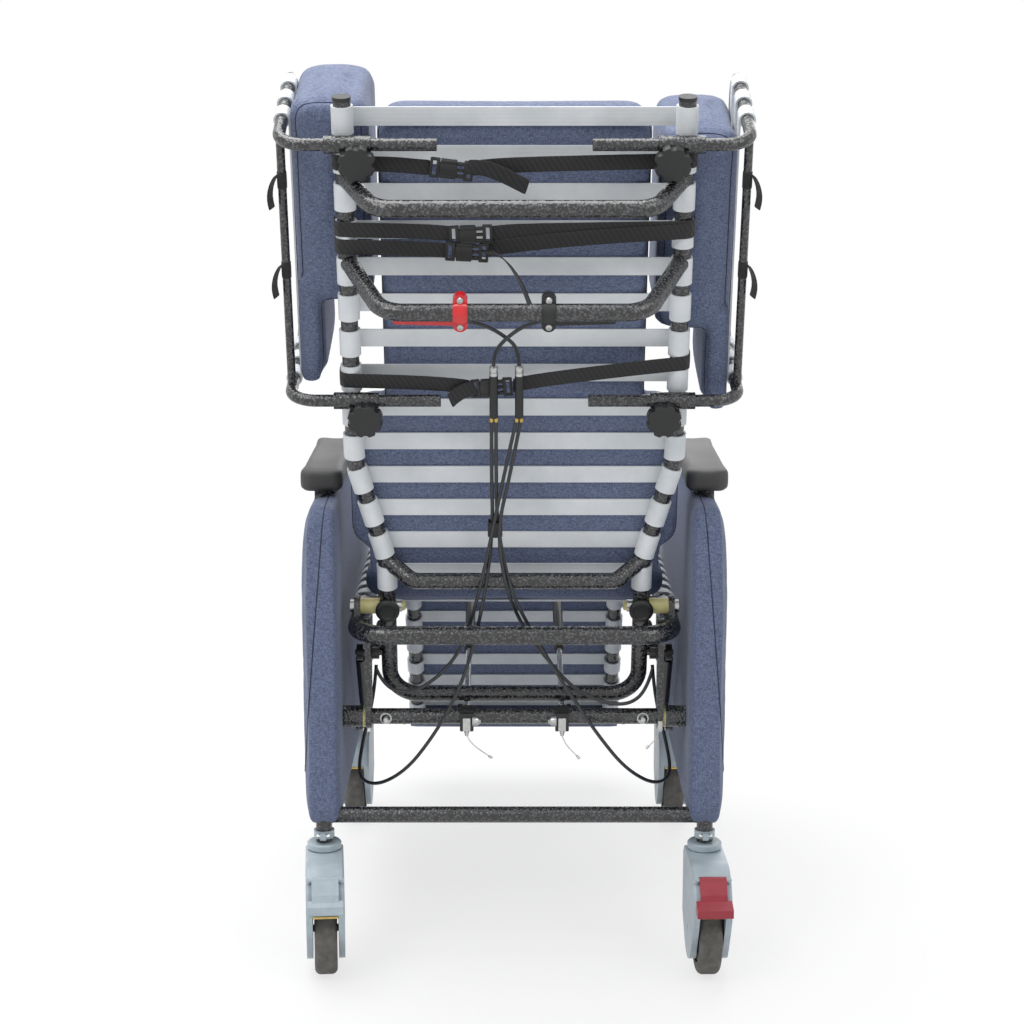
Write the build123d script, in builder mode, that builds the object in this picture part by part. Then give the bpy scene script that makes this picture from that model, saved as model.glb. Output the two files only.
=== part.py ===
from build123d import *
import os
from math import atan2, cos, degrees, hypot, radians, sin, tan

os.makedirs("parts", exist_ok=True)

# Sizes in mm. The chair faces +Y, the sitter's right hand is at +X, the floor is z = 0.
# Lengths named *_fwd are measured forward from the rear caster stems.
rear_stem_y = -302.0
wheelbase = 650.0
stem_x = 262.0
tube_d = 22.2
tube_wall = 2.0
rail_d = 25.4
rail_x = 216.0
rail_z = 466.0
run_fit = 0.05
skin = 0.3

# Base
leg_foot_z = 175.0
side_top_z = 628.0
low_rail_z = 212.0
panel_inner_x = 238.0
panel_outer_x = 284.0
panel_low_z = 197.0
panel_top_z = 646.0
panel_rear_fwd = -22.0
arm_pad_w = 62.0
arm_pad_len = 300.0
arm_pad_top = 684.0
arm_pad_thick = 33.0
arm_pad_rear_fwd = 60.0

# Tilt pivot, low at the back of the seat
tilt_fwd = 60.0
tilt_z = 335.0
pivot_r = 8.0

# Back hinge and the lean of the back
hinge_fwd = 60.0
hinge_z = 493.0
lean = 16.0
upright_x = 213.0
upright_low_x = 174.0
upright_top = 714.0
bend_high = 222.0
bend_low = 72.0
tail = -142.0

# Elastic straps
strap_w = 24.0
strap_t = 2.5
strap_pitch = 49.43
loop_w = 35.0
strap_count = 14
strap_top = 690.0
loop_fit = 0.2

# Wings
arm_d = 16.0
sleeve_len = 58.0
sleeve_x = 206.0
sleeve_rear = tube_d
arm_high = 664.5
arm_low = 319.3
arm_end_x = 96.0
wing_x = 293.0
wing_reach = 215.0
wing_bend = 34.0
wing_rise = 28.0

# Leg rest
leg_hinge_fwd = 560.0
leg_hinge_z = 466.0
leg_hang = 29.6
leg_len = 392.0
leg_x = 165.0

# Gas springs: pins given as forward and up
cyl_r = 7.5
rod_r = 4.0
pin_r = 4.0
eye_t = 9.4
recline_x = 193.0
recline_pin = -75.0
recline_far = (328.2, 430.0)
tilt_spring_x = 222.0
tilt_base_pin = (300.0, 249.0)
tilt_seat_pin = (180.0, 395.0)
leg_spring_x = 67.0
leg_rear_pin = (85.0, 335.0)
leg_lever = 50.0
leg_lever_turn = 26.0
recline_drift = 5.2
tilt_drift = 2.6
leg_drift = 5.0

# Casters
wheel_r = 62.5
wheel_w = 31.0
trail = 38.0
fork_w = 52.0
axle_r = 5.0
rear_left_turn = 5.0
rear_right_turn = 2.0


def at(x, fwd, up):
    return (x, fwd + rear_stem_y, up)


back_up = (0, -sin(radians(lean)), cos(radians(lean)))
back_rear = (0, -cos(radians(lean)), -sin(radians(lean)))
back = Plane(origin=at(0, hinge_fwd, hinge_z), x_dir=(1, 0, 0), z_dir=back_rear)
leg_plane = Plane(
    origin=at(0, leg_hinge_fwd, leg_hinge_z),
    x_dir=(1, 0, 0),
    z_dir=(0, cos(radians(leg_hang)), sin(radians(leg_hang))),
)


def save(piece, name):
    piece.label = name
    export_step(piece, f"parts/{name}.step")


def on_back(x, up, rear):
    return back.from_local_coords(Vector(x, up, rear))


def on_leg(x, down, front):
    return leg_plane.from_local_coords(Vector(x, down, front))


# A bent tube along corner points, hollow unless wall is 0
def bent_tube(points, bend, outer, wall):
    with BuildPart() as bent:
        with BuildLine() as run:
            if len(points) > 2:
                FilletPolyline(*points, radius=bend)
            else:
                Line(*points)
        with BuildSketch(run.line ^ 0):
            Circle(outer / 2)
            if wall > 0:
                Circle(outer / 2 - wall, mode=Mode.SUBTRACT)
        sweep(path=run.wires()[0])
    return bent.part


# A round bar between two points
def bar(start, end, r):
    a = Vector(*start) if isinstance(start, tuple) else start
    b = Vector(*end) if isinstance(end, tuple) else end
    with BuildPart() as rod:
        with BuildSketch(Plane(origin=a, z_dir=b - a)):
            Circle(r)
        extrude(amount=(b - a).length)
    return rod.part


# A ring along one axis
def ring(start, end, r_in, r_out):
    a = Vector(*start) if isinstance(start, tuple) else start
    b = Vector(*end) if isinstance(end, tuple) else end
    with BuildPart() as tubular:
        with BuildSketch(Plane(origin=a, z_dir=b - a)):
            Circle(r_out)
            Circle(r_in, mode=Mode.SUBTRACT)
        extrude(amount=(b - a).length)
    return tubular.part


# Base: a bent tube loop on each side with a low rail, a strut and the pivot stubs
front_fwd = wheelbase
strut_fwd = tilt_fwd
stub_r = 15.0
brace_r = 8.0
stub_in_x = 210.0
spring_stub_in = 214.0


def side_loop(side, grow):
    x = side * stem_x
    r = tube_d / 2 + grow
    wall = tube_wall if grow == 0 else 0
    loop = bent_tube(
        [
            at(x, 0, leg_foot_z),
            at(x, 0, side_top_z),
            at(x, front_fwd, side_top_z),
            at(x, front_fwd, leg_foot_z),
        ],
        60.0,
        2 * r,
        wall,
    )
    low = bar(at(x, 0, low_rail_z), at(x, front_fwd, low_rail_z), brace_r + grow)
    strut = bar(at(x, strut_fwd, low_rail_z), at(x, strut_fwd, side_top_z), brace_r + grow)
    post = bar(
        at(x, tilt_base_pin[0], low_rail_z),
        at(x, tilt_base_pin[0], tilt_base_pin[1] + 10),
        brace_r + grow,
    )
    stub = bar(at(x, tilt_fwd, tilt_z), at(side * (stub_in_x + run_fit), tilt_fwd, tilt_z), stub_r + grow)
    spring_stub = bar(at(x, *tilt_base_pin), at(side * (spring_stub_in + 14), *tilt_base_pin), 7.0 + grow)
    return loop, low, strut, post, stub, spring_stub


with BuildPart() as side_frames:
    for side in (-1, 1):
        loop, low, strut, post, stub, spring_stub = side_loop(side, 0)
        x = side * stem_x
        add(low)
        add(strut)
        add(post)
        add(stub)
        add(spring_stub)
        add(loop)
        # the bore of each leg is kept open for the caster stem
        for fwd in (0, front_fwd):
            add(
                bar(at(x, fwd, leg_foot_z - 1), at(x, fwd, leg_foot_z + 60), tube_d / 2 - tube_wall),
                mode=Mode.SUBTRACT,
            )
        # pivot pin of the seat and pin of the tilt spring
        add(bar(at(side * stub_in_x, tilt_fwd, tilt_z), at(side * 184, tilt_fwd, tilt_z), pivot_r))
        add(bar(at(side * 240, *tilt_base_pin), at(side * spring_stub_in, *tilt_base_pin), pin_r))
        # pad carriers on the top tube
        for fwd in (arm_pad_rear_fwd + 60, arm_pad_rear_fwd + arm_pad_len - 60):
            with BuildSketch(Plane(at(x, fwd, side_top_z))):
                Rectangle(28, 44)
            extrude(amount=arm_pad_top - arm_pad_thick - side_top_z)
save(side_frames.part, "side_frames")

leg_gap = stem_x - tube_d / 2 - 0.05
with BuildPart() as rear_cross_tube:
    with BuildSketch(Plane(origin=at(-leg_gap, 0, low_rail_z), z_dir=(1, 0, 0))):
        Circle(tube_d / 2)
        Circle(tube_d / 2 - tube_wall, mode=Mode.SUBTRACT)
    extrude(amount=2 * leg_gap)
    for side in (-1, 1):
        add(
            bar(
                at(side * stem_x, 0, low_rail_z - 40),
                at(side * stem_x, 0, low_rail_z + 40),
                tube_d / 2 + 0.05,
            ),
            mode=Mode.SUBTRACT,
        )
save(rear_cross_tube.part, "rear_cross_tube")


# Side panel: a padded cover, full in the middle and drawn in at the rims
def side_panel(side):
    mid_x = side * (panel_inner_x + panel_outer_x) / 2
    half = (panel_outer_x - panel_inner_x) / 2
    length = wheelbase - 2 * panel_rear_fwd
    height = panel_top_z - panel_low_z
    mid_z = (panel_top_z + panel_low_z) / 2
    face = Plane(origin=at(mid_x, wheelbase / 2, mid_z), x_dir=(0, 1, 0), z_dir=(1, 0, 0))
    rim = 16.0
    with BuildPart() as panel:
        for step, inset in ((-half, rim), (0, 0), (half, rim)):
            with BuildSketch(face.offset(step)):
                RectangleRounded(length - inset, height - inset, 42)
        loft()
        for piece in side_loop(side, skin):
            add(piece, mode=Mode.SUBTRACT)
        for fwd in (arm_pad_rear_fwd + 60, arm_pad_rear_fwd + arm_pad_len - 60):
            with BuildSketch(Plane(at(side * stem_x, fwd, side_top_z))):
                Rectangle(28 + 2 * skin, 44 + 2 * skin)
            extrude(amount=60, mode=Mode.SUBTRACT)
        add(
            bar(at(side * 225, 0, low_rail_z), at(side * stem_x, 0, low_rail_z), tube_d / 2 + skin),
            mode=Mode.SUBTRACT,
        )
    return panel.part


save(side_panel(-1), "side_panel_left")
save(side_panel(1), "side_panel_right")

pad_mid_x = 264.0
with BuildPart() as arm_pads:
    for side in (-1, 1):
        pad_mid_fwd = arm_pad_rear_fwd + arm_pad_len / 2
        with BuildSketch(Plane(at(side * pad_mid_x, pad_mid_fwd, arm_pad_top - arm_pad_thick))):
            RectangleRounded(arm_pad_w, arm_pad_len, 20)
        extrude(amount=arm_pad_thick)
    fillet(arm_pads.faces().filter_by(Axis.Z).sort_by(Axis.Z)[-2:].edges(), 11)
save(arm_pads.part, "arm_pads")

stem_spots = [(side * stem_x, fwd) for fwd in (0, wheelbase) for side in (-1, 1)]
ring_top = leg_foot_z - skin
ring_low = 164.0
with BuildPart() as caster_stems:
    for x, fwd in stem_spots:
        add(bar(at(x, fwd, ring_low), at(x, fwd, ring_top), 23.5))
        add(bar(at(x, fwd, ring_top), at(x, fwd, leg_foot_z + 45), tube_d / 2 - tube_wall - 0.1))
        add(bar(at(x, fwd, ring_low - 14), at(x, fwd, ring_low), 7.0))
    rims = caster_stems.edges().filter_by(GeomType.CIRCLE)
    chamfer(rims.filter_by(lambda e: abs(e.radius - 23.5) < 0.1), 2)
save(caster_stems.part, "caster_stems")

with BuildPart() as leg_clamps:
    for x, fwd in stem_spots:
        add(ring(at(x, fwd, 181), at(x, fwd, 191), tube_d / 2 + 0.05, tube_d / 2 + 3))
        with Locations(Pos(*at(x, fwd - tube_d / 2 - 5.5, 186))):
            Box(8, 7, 9)
save(leg_clamps.part, "leg_clamps")


# Caster: a hooded fork that swivels, a wheel on an axle, and a pedal on the rear pair
def caster_plane(x, fwd, turn):
    return Plane(Pos(*at(x, fwd, 0)) * Rot(0, 0, turn))


fork_top = ring_low - skin
with_pocket = wheel_r + 3.5
hood_lip = (-105.0, 107.0)
pedal_pivot = (-97.0, 153.0)
pedal_pin_r = 2.5
lug_half = 22.0
pedal_half = 18.0
lip_half = 24.0


def caster_fork(place, pedal):
    side_face = Plane(
        origin=place.from_local_coords(Vector(-fork_w / 2, 0, 0)),
        x_dir=place.from_local_coords(Vector(0, 1, 0)) - place.origin,
        z_dir=place.from_local_coords(Vector(1, 0, 0)) - place.origin,
    )
    axle = side_face.offset(0).from_local_coords(Vector(-trail, wheel_r, 0))
    across = side_face.z_dir
    with BuildPart() as fork:
        with BuildSketch(side_face):
            with BuildLine():
                Polyline((30, 70), (30, 146), (14, fork_top), (-52, fork_top))
                ThreePointArc((-52, fork_top), (-96, 146), (-112, 108))
                Polyline((-112, 108), (-98, 80), (-70, 34))
                ThreePointArc((-70, 34), (-38, 22), (-6, 34))
                Line((-6, 34), (30, 70))
            make_face()
        extrude(amount=fork_w)
        fillet(fork.edges().filter_by(lambda e: e.length > 30 and e.center().Z > 100), 4)
        add(
            bar(axle + across * (fork_w / 2 - wheel_w / 2 - 2), axle + across * (fork_w / 2 + wheel_w / 2 + 2),
                with_pocket),
            mode=Mode.SUBTRACT,
        )
        with Locations(place.location * Pos(0, hood_lip[0], hood_lip[1] - 20)):
            Box(wheel_w + 4, 50, 40, mode=Mode.SUBTRACT)
        add(
            bar(axle - across * 2, axle + across * (fork_w + 2), axle_r + run_fit),
            mode=Mode.SUBTRACT,
        )
        king = place.from_local_coords(Vector(0, 0, ring_low - 16))
        add(
            bar(king, place.from_local_coords(Vector(0, 0, ring_low + 2)), 7.0 + run_fit),
            mode=Mode.SUBTRACT,
        )
        add(bar(axle + across * 1, axle + across * (fork_w - 1), axle_r))
        if pedal:
            for x in (-lug_half, lug_half):
                foot = place.from_local_coords(Vector(x, -88, 146))
                add(bar(foot, place.from_local_coords(Vector(x, *pedal_pivot)), 3.5))
            ends = [place.from_local_coords(Vector(x, *pedal_pivot)) for x in (-lug_half - 1, lug_half + 1)]
            add(bar(*ends, pedal_pin_r))
    return fork.part


def caster_wheel(place):
    hub = place.from_local_coords(Vector(-wheel_w / 2, -trail, wheel_r))
    across = place.from_local_coords(Vector(1, 0, 0)) - place.origin
    tyre_in = 46.0
    with BuildPart() as wheel:
        add(ring(hub, hub + across * wheel_w, tyre_in, wheel_r))
        fillet(wheel.edges().filter_by(GeomType.CIRCLE).filter_by(lambda e: abs(e.radius - wheel_r) < 0.1), 8)
        add(ring(hub + across * 3, hub + across * (wheel_w - 3), axle_r + run_fit, tyre_in - 0.02))
    return wheel.part


def caster_pedal(place, reach):
    flat = Plane(
        origin=place.from_local_coords(Vector(-pedal_half, 0, 0)),
        x_dir=place.from_local_coords(Vector(0, 1, 0)) - place.origin,
        z_dir=place.from_local_coords(Vector(1, 0, 0)) - place.origin,
    )
    lip = flat.offset(pedal_half - lip_half)
    with BuildPart() as pedal:
        with BuildSketch(flat):
            with BuildLine():
                Polyline((-99, 149), (-101.5, 155), (-114, 138), (-119, 124), (-116, 120), (-111, 136), (-99, 149))
            make_face()
        extrude(amount=2 * pedal_half)
        with BuildSketch(lip):
            with BuildLine():
                Polyline((-115, 131), (-118 - reach, 124), (-118 - reach, 113), (-116, 113), (-115, 131))
            make_face()
        extrude(amount=2 * lip_half)
        ends = [place.from_local_coords(Vector(x, *pedal_pivot)) for x in (-pedal_half, pedal_half)]
        add(bar(*ends, 5.0))
        add(bar(*ends, pedal_pin_r + run_fit), mode=Mode.SUBTRACT)
    return pedal.part


front_left = caster_plane(-stem_x, wheelbase, 0)
front_right = caster_plane(stem_x, wheelbase, 0)
rear_left = caster_plane(-stem_x, 0, rear_left_turn)
rear_right = caster_plane(stem_x, 0, rear_right_turn)
for place, name in (
    (front_left, "front_left"),
    (front_right, "front_right"),
    (rear_left, "rear_left"),
    (rear_right, "rear_right"),
):
    save(caster_fork(place, name.startswith("rear")), f"{name}_fork")
    save(caster_wheel(place), f"{name}_wheel")
save(caster_pedal(rear_left, 4), "rear_left_pedal")
save(caster_pedal(rear_right, 16), "rear_right_pedal")


# A flat plate with round ends between two points given as forward and up
def link(x_low, x_high, a, b, r):
    span = hypot(b[0] - a[0], b[1] - a[1])
    turn = degrees(atan2(b[1] - a[1], b[0] - a[0]))
    face = Plane(origin=at(x_low, 0, 0), x_dir=(0, 1, 0), z_dir=(1, 0, 0))
    with BuildPart() as plate:
        with BuildSketch(face):
            with Locations(((a[0] + b[0]) / 2, (a[1] + b[1]) / 2)):
                SlotCenterToCenter(span, 2 * r, rotation=turn)
        extrude(amount=x_high - x_low)
    return plate.part


# The same plate on the chosen side of the chair
def side_link(side, x_in, x_out, a, b, r):
    return link(min(side * x_in, side * x_out), max(side * x_in, side * x_out), a, b, r)


# Seat frame: a bent tube open at the front, with a cross bar at the tilt pivot
rail_front_fwd = 576.0
ear_in = 198.0
ear_out = 206.0
hinge_ear_in = 212.0
hinge_ear_out = 220.0
bolt_r = 5.0
leg_pin_end = 140.0
with BuildPart() as seat_frame:
    add(
        bent_tube(
            [
                at(-rail_x, rail_front_fwd, rail_z),
                at(-rail_x, 0, rail_z),
                at(rail_x, 0, rail_z),
                at(rail_x, rail_front_fwd, rail_z),
            ],
            48.0,
            rail_d,
            tube_wall,
        )
    )
    for side in (-1, 1):
        add(side_link(side, ear_in, ear_out, (tilt_fwd, rail_z - 8), (tilt_fwd, tilt_z), 17))
        add(side_link(side, hinge_ear_in, hinge_ear_out, (hinge_fwd, rail_z), (hinge_fwd, hinge_z), 15))
        add(side_link(side, 204, 210, (tilt_seat_pin[0], rail_z - 8), tilt_seat_pin, 12))
        add(bar(at(side * 206, *tilt_seat_pin), at(side * 229, *tilt_seat_pin), pin_r))
        add(side_link(side, 198, 204, (recline_far[0], rail_z - 6), recline_far, 11))
        add(bar(at(side * 202, *recline_far), at(side * 186, *recline_far), pin_r))
        leg_pin = (leg_hinge_fwd, leg_hinge_z)
        add(bar(at(side * rail_x, *leg_pin), at(side * leg_pin_end, *leg_pin), 8.0))
        add(side_link(side, leg_spring_x + 6, leg_spring_x + 12, (tilt_fwd, tilt_z), leg_rear_pin, 10))
        pin_out = at(side * (leg_spring_x + 10), *leg_rear_pin)
        add(bar(pin_out, at(side * (leg_spring_x - 7), *leg_rear_pin), pin_r))
    add(bar(at(-ear_in - 1, tilt_fwd, tilt_z), at(ear_in + 1, tilt_fwd, tilt_z), tube_d / 2))
    for side in (-1, 1):
        add(
            bar(at(side * 150, tilt_fwd, tilt_z), at(side * 215, tilt_fwd, tilt_z), pivot_r + run_fit),
            mode=Mode.SUBTRACT,
        )
        add(
            bar(at(side * 205, hinge_fwd, hinge_z), at(side * 230, hinge_fwd, hinge_z), bolt_r + run_fit),
            mode=Mode.SUBTRACT,
        )
save(seat_frame.part, "seat_frame")

with BuildPart() as rail_plugs:
    for side in (-1, 1):
        face = at(side * rail_x, rail_front_fwd + run_fit, rail_z)
        add(bar(face, at(side * rail_x, rail_front_fwd + 4, rail_z), rail_d / 2))
save(rail_plugs.part, "rail_plugs")

bush_in = upright_low_x + tube_d / 2 + 0.2
with BuildPart() as hinge_bushes:
    for side in (-1, 1):
        add(
            ring(
                at(side * bush_in, hinge_fwd, hinge_z),
                at(side * (hinge_ear_in - 0.1), hinge_fwd, hinge_z),
                bolt_r + run_fit,
                11.0,
            )
        )
        add(
            ring(
                at(side * (ear_out + 0.1), tilt_fwd, tilt_z),
                at(side * (stub_in_x - 0.1), tilt_fwd, tilt_z),
                pivot_r + run_fit,
                15.0,
            )
        )
save(hinge_bushes.part, "hinge_bushes")

nut_in = upright_low_x - tube_d / 2 - 0.2
with BuildPart() as hinge_bolts:
    for side in (-1, 1):
        pivot = (hinge_fwd, hinge_z)
        add(bar(at(side * (nut_in - 10), *pivot), at(side * hinge_ear_out, *pivot), bolt_r))
        add(bar(at(side * (hinge_ear_out + 0.1), *pivot), at(side * 226, *pivot), 9.0))
        add(bar(at(side * (nut_in - 8), *pivot), at(side * nut_in, *pivot), 8.5))
        add(bar(at(side * (hinge_ear_out - 1), *pivot), at(side * 224, *pivot), bolt_r))
save(hinge_bolts.part, "hinge_bolts")

seat_strap_start = 155.3
seat_strap_count = 8
with BuildPart() as seat_straps:
    for step in range(seat_strap_count):
        fwd = seat_strap_start + step * strap_pitch
        with BuildSketch(Plane(origin=at(0, fwd + strap_w / 2, rail_z), x_dir=(1, 0, 0), z_dir=(0, -1, 0))):
            with Locations((-rail_x, 0), (rail_x, 0)):
                Circle(rail_d / 2 + loop_fit + strap_t)
            with Locations((0, rail_d / 2 + loop_fit + strap_t / 2)):
                Rectangle(2 * rail_x, strap_t)
            with Locations((-rail_x, 0), (rail_x, 0)):
                Circle(rail_d / 2 + loop_fit, mode=Mode.SUBTRACT)
        extrude(amount=strap_w)
save(seat_straps.part, "seat_straps")


# A soft block: rounded sections stacked along a plane, full in the middle and drawn in at both faces
def soft_block(base, width, length, thick, corner, low_in, top_in):
    with BuildPart() as block:
        for rise, inset in ((0, low_in), (0.3 * thick, 0), (0.68 * thick, 2), (thick, top_in)):
            with BuildSketch(base.offset(rise)):
                RectangleRounded(width - 2 * inset, length - 2 * inset, corner)
        loft()
    return block.part


seat_cushion_rear = 98.0
seat_cushion_front = 572.0
seat_cushion_w = 440.0
seat_cushion_low = rail_z + rail_d / 2 + loop_fit + strap_t + skin
save(
    soft_block(
        Plane(at(0, (seat_cushion_rear + seat_cushion_front) / 2, seat_cushion_low)),
        seat_cushion_w,
        seat_cushion_front - seat_cushion_rear,
        68.0,
        38.0,
        8.0,
        30.0,
    ),
    "seat_cushion",
)

# Back frame: one bent tube, two uprights joined by the tail bar
upright_points = [
    on_back(-upright_x, upright_top, 0),
    on_back(-upright_x, bend_high, 0),
    on_back(-upright_low_x, bend_low, 0),
    on_back(-upright_low_x, tail, 0),
    on_back(upright_low_x, tail, 0),
    on_back(upright_low_x, bend_low, 0),
    on_back(upright_x, bend_high, 0),
    on_back(upright_x, upright_top, 0),
]
upright_bends = [150.0, 150.0, 40.0, 40.0, 150.0, 150.0]
with BuildPart() as back_frame:
    add(bent_tube(upright_points, upright_bends, tube_d, tube_wall))
    for side in (-1, 1):
        add(
            bar(at(side * 150, hinge_fwd, hinge_z), at(side * 195, hinge_fwd, hinge_z), bolt_r + run_fit),
            mode=Mode.SUBTRACT,
        )
        pin_in = on_back(side * (upright_low_x + 9.6), recline_pin, 0)
        add(bar(pin_in, on_back(side * (ear_in - 0.15), recline_pin, 0), pin_r))
save(back_frame.part, "back_frame")

upright_core = bent_tube(upright_points, upright_bends, tube_d + 0.04, 0)


# A cross bar that leaves the uprights and runs behind them
def cross_bar(start_x, start_up, bar_x, bar_up, rear, bend, grow=0):
    with BuildPart() as crossing:
        add(
            bent_tube(
                [
                    on_back(-start_x, start_up, 0),
                    on_back(-bar_x, bar_up, rear),
                    on_back(bar_x, bar_up, rear),
                    on_back(start_x, start_up, 0),
                ],
                bend,
                tube_d + 2 * grow,
                0 if grow else tube_wall,
            )
        )
        add(upright_core, mode=Mode.SUBTRACT)
    return crossing.part.solids().sort_by(SortBy.VOLUME)[-1]


push_up = 482.0
push_rear = 120.0
head_bar = (upright_x, 616, 172, 605, 90, 34)
push_bar = (upright_x, 505, 163, push_up, push_rear, 38)
lower_bar = (upright_low_x, bend_low, 138, 52, 24, 22)
with BuildPart() as back_cross_bars:
    for course in (head_bar, push_bar, lower_bar):
        add(cross_bar(*course))
save(back_cross_bars.part, "back_cross_bars")

with BuildPart() as upright_caps:
    for side in (-1, 1):
        cap_low = on_back(side * upright_x, upright_top + run_fit, 0)
        add(bar(cap_low, on_back(side * upright_x, upright_top + 5, 0), 11.6))
save(upright_caps.part, "upright_caps")


# One elastic strap of the back: a band in front of the uprights and a loop round each
def upright_at(up):
    if up > bend_high:
        return upright_x, 0.0
    if up < bend_low:
        return upright_low_x, 0.0
    slope = (upright_x - upright_low_x) / (bend_high - bend_low)
    return upright_low_x + slope * (up - bend_low), slope


loop_in = tube_d / 2 + loop_fit
with BuildPart() as strap_slices:
    for step in range(strap_count):
        up = strap_top - step * strap_pitch
        x, slope = upright_at(up)
        for side in (-1, 1):
            along = on_back(side * slope, 1, 0) - on_back(0, 0, 0)
            with Locations(Plane(on_back(side * x, up, 0), z_dir=along)):
                Box(3 * tube_d, 3 * tube_d, loop_w)
with BuildPart() as back_straps:
    add(bent_tube(upright_points, upright_bends, 2 * (loop_in + strap_t), strap_t))
    add(strap_slices.part, mode=Mode.INTERSECT)
    for step in range(strap_count):
        up = strap_top - step * strap_pitch
        x, slope = upright_at(up)
        with BuildSketch(back.offset(-loop_in - 0.1)):
            with Locations((0, up)):
                Rectangle(2 * x, strap_w)
        extrude(amount=-strap_t + 0.2)
    # the loops are drawn aside where a cross bar or a wing sleeve meets the upright
    for course in (head_bar, push_bar, lower_bar):
        add(cross_bar(*course, skin), mode=Mode.SUBTRACT)
    for side in (-1, 1):
        for level in (arm_high, arm_low):
            inner_end = on_back(side * (sleeve_x - sleeve_len / 2 - 1), level, sleeve_rear)
            outer_end = on_back(side * (sleeve_x + sleeve_len / 2 + 1), level, sleeve_rear)
            add(bar(inner_end, outer_end, tube_d / 2 + skin), mode=Mode.SUBTRACT)
save(back_straps.part, "back_straps")

# Back cushion: narrow between the wings, wider below them, fullest in the middle
cushion_rear = -(tube_d / 2 + loop_fit + strap_t + skin)
back_cushion_t = 88.0
back_cushion_low = 75.0
back_cushion_top = 698.0
with BuildPart() as back_cushion:
    for rise, inset in ((0, 6), (0.3, 0), (0.68, 3), (1, 26)):
        with BuildSketch(back.offset(cushion_rear - rise * back_cushion_t)):
            with Locations((0, (back_cushion_top + back_cushion_low) / 2)):
                RectangleRounded(2 * (176 - inset), back_cushion_top - back_cushion_low - 2 * inset, 30)
    loft()
    for rise, inset in ((0, 6), (0.3, 0), (0.68, 3), (1, 26)):
        with BuildSketch(back.offset(cushion_rear - rise * back_cushion_t)):
            with Locations((0, 184)):
                RectangleRounded(2 * (226 - inset), 218 - 2 * inset, 30)
    loft()
    # a thin tongue that goes down behind the seat cushion
    with BuildSketch(back.offset(cushion_rear)):
        with Locations((0, 72)):
            RectangleRounded(400, 76, 12)
    extrude(amount=-28)
save(back_cushion.part, "back_cushion")

# Sleeves for the wing arms, each with a lug for its clamp screw
lug_x = 194.0
knob_drop = 18.5
knob_r = 23.0
screw_r = 4.0
arm_levels = (arm_high, arm_low)
with BuildPart() as wing_sleeves:
    for side in (-1, 1):
        for level in arm_levels:
            with BuildSketch(back.offset(17.5)):
                with Locations((side * lug_x, level - knob_drop + 4)):
                    Rectangle(16, 22)
            extrude(amount=12.5)
            low = on_back(side * (sleeve_x - sleeve_len / 2), level, sleeve_rear)
            high = on_back(side * (sleeve_x + sleeve_len / 2), level, sleeve_rear)
            add(bar(low, high, tube_d / 2))
            add(bar(low, high, arm_d / 2 + run_fit), mode=Mode.SUBTRACT)
            add(
                bar(
                    on_back(side * lug_x, level - knob_drop, 19),
                    on_back(side * lug_x, level - knob_drop, 40),
                    screw_r + run_fit,
                ),
                mode=Mode.SUBTRACT,
            )
save(wing_sleeves.part, "wing_sleeves")


def clamp_knob(side, level):
    up = level - knob_drop
    with BuildPart() as knob:
        with BuildSketch(back.offset(34.8)):
            with Locations((side * lug_x, up)):
                Circle(knob_r)
                with PolarLocations(knob_r + 2, 8):
                    Circle(5.0, mode=Mode.SUBTRACT)
        extrude(amount=15)
        fillet(knob.faces().sort_by(Axis(on_back(0, 0, 0), back.z_dir))[-1].edges(), 2.0)
        add(bar(on_back(side * lug_x, up, 20), on_back(side * lug_x, up, 35), screw_r))
    return knob.part


save(clamp_knob(-1, arm_high), "left_high_knob")
save(clamp_knob(-1, arm_low), "left_low_knob")
save(clamp_knob(1, arm_high), "right_high_knob")
save(clamp_knob(1, arm_low), "right_low_knob")


# Wings: a bent tube with a rear rod, three straps and a pad
pad_out = 281.8


# The upper bar of a wing climbs towards the front
def top_bar_at(front):
    return arm_high + wing_rise * (front + sleeve_rear) / (wing_reach + sleeve_rear)


def wing_frame(side):
    x = side * wing_x
    with BuildPart() as frame:
        add(
            bent_tube(
                [
                    on_back(side * arm_end_x, arm_high, sleeve_rear),
                    on_back(x, arm_high, sleeve_rear),
                    on_back(x, arm_high + wing_rise, -wing_reach),
                    on_back(x, arm_low, -wing_reach),
                    on_back(x, arm_low, sleeve_rear),
                    on_back(side * arm_end_x, arm_low, sleeve_rear),
                ],
                wing_bend,
                arm_d,
                tube_wall,
            )
        )
        add(bar(on_back(x, top_bar_at(18) - 7, -18), on_back(x, arm_low + 7, -18), 5.5))
    return frame.part


def wing_straps(side):
    x = side * wing_x
    inner = arm_d / 2 + loop_fit
    with BuildPart() as straps:
        for front in (62, 112, 162):
            band = Plane(origin=on_back(x - side * inner, 0, 0), x_dir=back_up, z_dir=(-side, 0, 0))
            turn = -1 if Vector(*back_rear).dot(band.y_dir) > 0 else 1
            with BuildSketch(band):
                with Locations(((top_bar_at(front) + arm_low) / 2, turn * front)):
                    Rectangle(top_bar_at(front) - arm_low, strap_w)
            extrude(amount=strap_t)
            near, far = front - strap_w / 2, front + strap_w / 2
            for near_up, far_up in ((top_bar_at(near), top_bar_at(far)), (arm_low, arm_low)):
                add(bar(on_back(x, near_up, -near), on_back(x, far_up, -far), inner + strap_t))
                reach = (far_up - near_up) / strap_w
                add(
                    bar(on_back(x, near_up - reach, -near + 1), on_back(x, far_up + reach, -far - 1), inner),
                    mode=Mode.SUBTRACT,
                )
    return straps.part


# The pad: a thick bolster above a thin lower part
pad_depth = 196.0
pad_rear = -18.0
bolster_t = 98.0
thin_t = 29.0
rounded_end = ((0, 12), (4, 5.5), (12, 1.6), (26, 0))


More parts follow.
